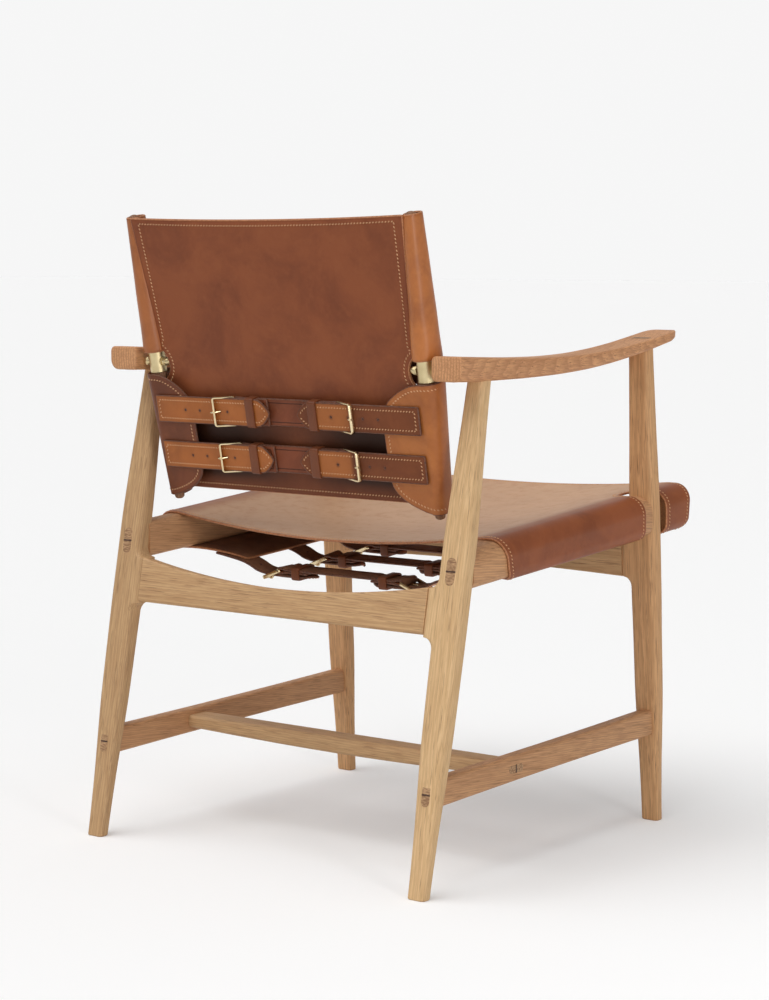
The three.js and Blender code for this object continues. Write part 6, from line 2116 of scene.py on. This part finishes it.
@dataclass
class SeatStraps:
    """The three rows of straps that lace the seat under itself.

    Attributes:
        drop: how far the rows hang below the side rails.
        places: each row's name and its place along the chair.
        holes: how far out the billets' spare holes lie, on either side of the tongue's.
    """

    seat: SeatSling = field(default_factory=SeatSling)
    row: StrapRow = field(default_factory=lambda: StrapRow(131, 74, 48, 54, 30, 214))
    drop: float = 29
    places: tuple[tuple[str, float], ...] = (("rear", 70), ("middle", -30), ("front", -125))
    holes: tuple[float, float] = (107, 150)

    def billet_wave(self, phase: float) -> Wave:
        """Loose leather past the buckle: waves along the strap that tip it from edge to edge."""
        def wave(gone: Array, across: Array) -> Array:
            """Waves that die out before the buckle."""
            loose = np.clip((34 - gone) / 30, 0, 1)
            return loose * (1.6 * np.sin(gone / 5.2 + phase) * across + 1.2 * np.sin(gone / 7 + phase))
        return wave

    def centre_wave(self, phase: float) -> Wave:
        """The slack between a buckle and its keeper: two or three crumples, deeper at one edge."""
        def wave(gone: Array, across: Array) -> Array:
            """Crumples between the buckle and the keeper."""
            middle = float(self.row.buckle - self.row.buckle_length) + self.row.fold + 20
            slack = np.exp(-((np.abs(gone - middle) - self.row.keeper - 10) / 15) ** 2)
            return -slack * (2.6 * np.sin(gone / 3.6 + phase) * (0.5 + 0.5 * across))
        return wave

    def under(self, x: float) -> float:
        """The height of a wing's underside above the row, at a distance out."""
        seat = self.seat
        share = (x - seat.wing_edge) / (seat.wing_root - seat.wing_edge)
        return seat.skin + seat.leather / 2 + seat.wing_drop * (1 - share) ** 2 - self.drop + 0.4

    def build(self, shop: Workshop) -> None:
        """Makes each row's straps, keepers, buckles and stitches."""
        row, oak, body = self.row, self.seat.oak, Body.FRAME
        tilt = atan(oak.rail_rise)
        for k, (name, y) in enumerate(self.places):

            def move(p: Array, at: float = y, height: float = float(oak.rail_z(y)[1]) - self.drop) -> Array:
                """Places in the row as places in the chair."""
                x, b, c = p[..., 0], p[..., 1], p[..., 2]
                return stacked(x, at - b * cos(tilt) - c * sin(tilt), height + b * sin(tilt) - c * cos(tilt))

            def place(made: Surface, change: Callable[[Array], Array] = move) -> Surface:
                """Moves a piece of the row to the chair."""
                return faced_out(made.moved(change))

            sewn = [(x, self.under(x)) for x in (188, row.sewn_end)]
            path = row.billet_path([
                (row.buckle + 3.2, 0), (self.seat.wing_edge - 3.4, self.under(self.seat.wing_edge)), *sewn,
            ])
            wave = self.billet_wave(k * 2.1)
            holes = (self.holes[0], row.buckle - row.buckle_length / 4, self.holes[1])
            billet = place(row.billet(path, holes, wave))
            behind = ("burnished_edge", "flesh_side")
            shop.pair(f"seat_billet_{name}", billet, body, "seat_billet_leather", *behind)
            centre = place(row.centre(self.centre_wave(k * 1.7)))
            shop.piece(f"seat_centre_strap_{name}", centre, body, "seat_centre_leather", *behind)
            shop.pair(f"seat_keeper_{name}", place(row.keeper_loop()), body, "keeper_leather")
            buckle = place(Surface.joined([row.frame_loop(), row.tongue()]))
            shop.pair(f"seat_buckle_{name}", buckle, body, "polished_brass")
            stitches = place(row.billet_stitches(path, wave))
            shop.pair(f"seat_strap_stitches_{name}", stitches, body, "waxed_thread")


# Studio


@dataclass
class Studio:
    """A pale floor under an even pale sky, with two lamps.

    One lamp is broad and high behind the camera's left. The other is an upright strip at the
    sitter's right.

    Attributes:
        sky: the sky's strength as a light.
        backdrop: its strength to the camera, and the most that polished things mirror.
        dim: the least that they mirror.
        aside: how far the mirrored light behind the camera is turned to its right.
        ahead_power, behind_power: powers of the cosine by which the two mirrored lights fall off.
        floor_tone, floor_glow, floor_size: the floor's grey, its own light and half its width.
        key_power, key_toward, key_spread: the broad lamp's strength, direction and angle.
        strip_power, strip_at, strip_size: the strip lamp's watts, its place and its size.
    """

    camera_at: tuple[float, float, float] = (-2.008, 2.60462, 0.777)
    yaw: float = radians(37.75)
    pitch: float = radians(5.74)
    lens: float = 87.89
    sky: float = 0.36
    backdrop: float = 0.925
    dim: float = 0.14
    aside: float = radians(20)
    ahead_power: float = 3
    behind_power: float = 7
    floor_tone: float = 0.78
    floor_glow: float = 0.23
    floor_size: float = 60
    key_power: float = 1.85
    key_toward: tuple[float, float, float] = (0.3, 0.52, 1.2)
    key_spread: float = radians(62)
    strip_power: float = 30
    strip_at: tuple[float, float, float] = (-3.3, 1.5, 0.95)
    strip_size: tuple[float, float] = (0.55, 2.2)

    def put(self, name: str, data: bpy.types.ID) -> bpy.types.Object:
        """Adds a lamp, a camera or a mesh to the scene."""
        made = bpy.data.objects.new(name, data)
        bpy.context.scene.collection.objects.link(made)
        return made

    def key(self) -> None:
        """A broad lamp far away, wide enough to soften every shadow."""
        light = bpy.data.lights.new("key", "SUN")
        light.energy, light.angle = self.key_power, self.key_spread
        x, y, z = unit(np.asarray(self.key_toward, float))
        self.put("key", light).rotation_euler = (atan2(hypot(x, y), z), 0, atan2(x, -y))

    def strip(self) -> None:
        """An upright strip lamp that fills the sitter's right and draws bands on leather and brass."""
        light = bpy.data.lights.new("strip", "AREA")
        light.shape, light.energy = "RECTANGLE", self.strip_power
        light.size, light.size_y = self.strip_size
        made = self.put("strip", light)
        made.location = self.strip_at
        made.rotation_euler = (pi / 2, 0, atan2(self.strip_at[0], -self.strip_at[1]))

    def floor(self) -> None:
        """The floor: matt and pale, as bright as the backdrop to the camera and to polished metal."""
        recipe = Recipe("studio_floor")
        seen = recipe.node("LightPath").outputs
        show = recipe.maths("MAXIMUM", seen["Is Camera Ray"], seen["Is Glossy Ray"])
        recipe.finish(
            Base_Color=(self.floor_tone,) * 3 + (1,), Roughness=1.0, Specular_IOR_Level=0.0,
            Emission_Color=(1, 1, 1, 1), Emission_Strength=recipe.times(show, self.floor_glow),
        )
        mesh = bpy.data.meshes.new("studio_floor")
        half = self.floor_size
        corners = [(-half, -half, 0), (half, -half, 0), (half, half, 0), (-half, half, 0)]
        mesh.from_pydata(corners, [], [(0, 1, 2, 3)])
        mesh.materials.append(recipe.material)
        self.put("studio_floor", mesh)

    def world(self) -> None:
        """An even pale sky, near white to the camera.

        To what mirrors it, it is near white ahead of the camera and behind the camera's right
        shoulder, and falls off round each by its own power of the cosine.
        """
        world = bpy.data.worlds.new("studio")
        world.use_nodes = True
        bpy.context.scene.world = world
        net = Network(world.node_tree)
        seen, way = net.node("LightPath").outputs, net.node("TexCoord").outputs["Generated"]

        def lobe(turn: float, power: float) -> Socket:
            """A light in a direction on the horizon, turned from the one the camera looks in."""
            made = net.node("VectorMath", {"operation": "DOT_PRODUCT"})
            net.put(made.inputs[0], way)
            net.put(made.inputs[1], (sin(self.yaw + turn), -cos(self.yaw + turn), 0))
            return net.maths("POWER", net.maths("MAXIMUM", made.outputs["Value"], 0.0), power)

        lobes = net.maths("MAXIMUM", lobe(0.0, self.ahead_power), lobe(pi + self.aside, self.behind_power))
        bright = net.maths("MULTIPLY_ADD", lobes, self.backdrop - self.dim, self.dim)
        mirrored = net.times(bright, seen["Is Glossy Ray"])
        plain = net.times(net.maths("SUBTRACT", 1.0, seen["Is Glossy Ray"]), self.sky)
        behind = net.times(seen["Is Camera Ray"], self.backdrop)
        shade = world.node_tree.nodes["Background"]
        net.put(shade.inputs["Strength"], net.maths("MAXIMUM", net.maths("ADD", mirrored, plain), behind))
        net.put(shade.inputs["Color"], (1, 1, 1, 1))

    def camera(self) -> None:
        """The camera that was fitted to the photograph."""
        data = bpy.data.cameras.new("camera")
        data.lens, data.sensor_width, data.sensor_fit = self.lens, 36, "AUTO"
        made = self.put("camera", data)
        made.location = self.camera_at
        made.rotation_euler = (pi / 2 - self.pitch, 0, pi + self.yaw)
        bpy.context.scene.camera = made

    def build(self) -> None:
        """Sets the scene."""
        bpy.context.scene.view_settings.view_transform = "Standard"
        for make in (self.camera, self.floor, self.world, self.key, self.strip):
            make()


def main() -> None:
    """Builds the studio and every part of the chair."""
    logging.basicConfig(level=logging.INFO, format="%(name)s %(message)s")
    Studio().build()
    shop = Workshop()
    oak = OakFrame()
    oak.build(shop)
    Pivots().build(shop, oak.arm)
    sling = BackSling()
    sling.build(shop)
    BackStraps(sling).build(shop)
    seat = SeatSling(oak)
    seat.build(shop)
    SeatStraps(seat).build(shop)
    log.info("%d pieces made", shop.made)


if __name__ == "__main__":
    main()
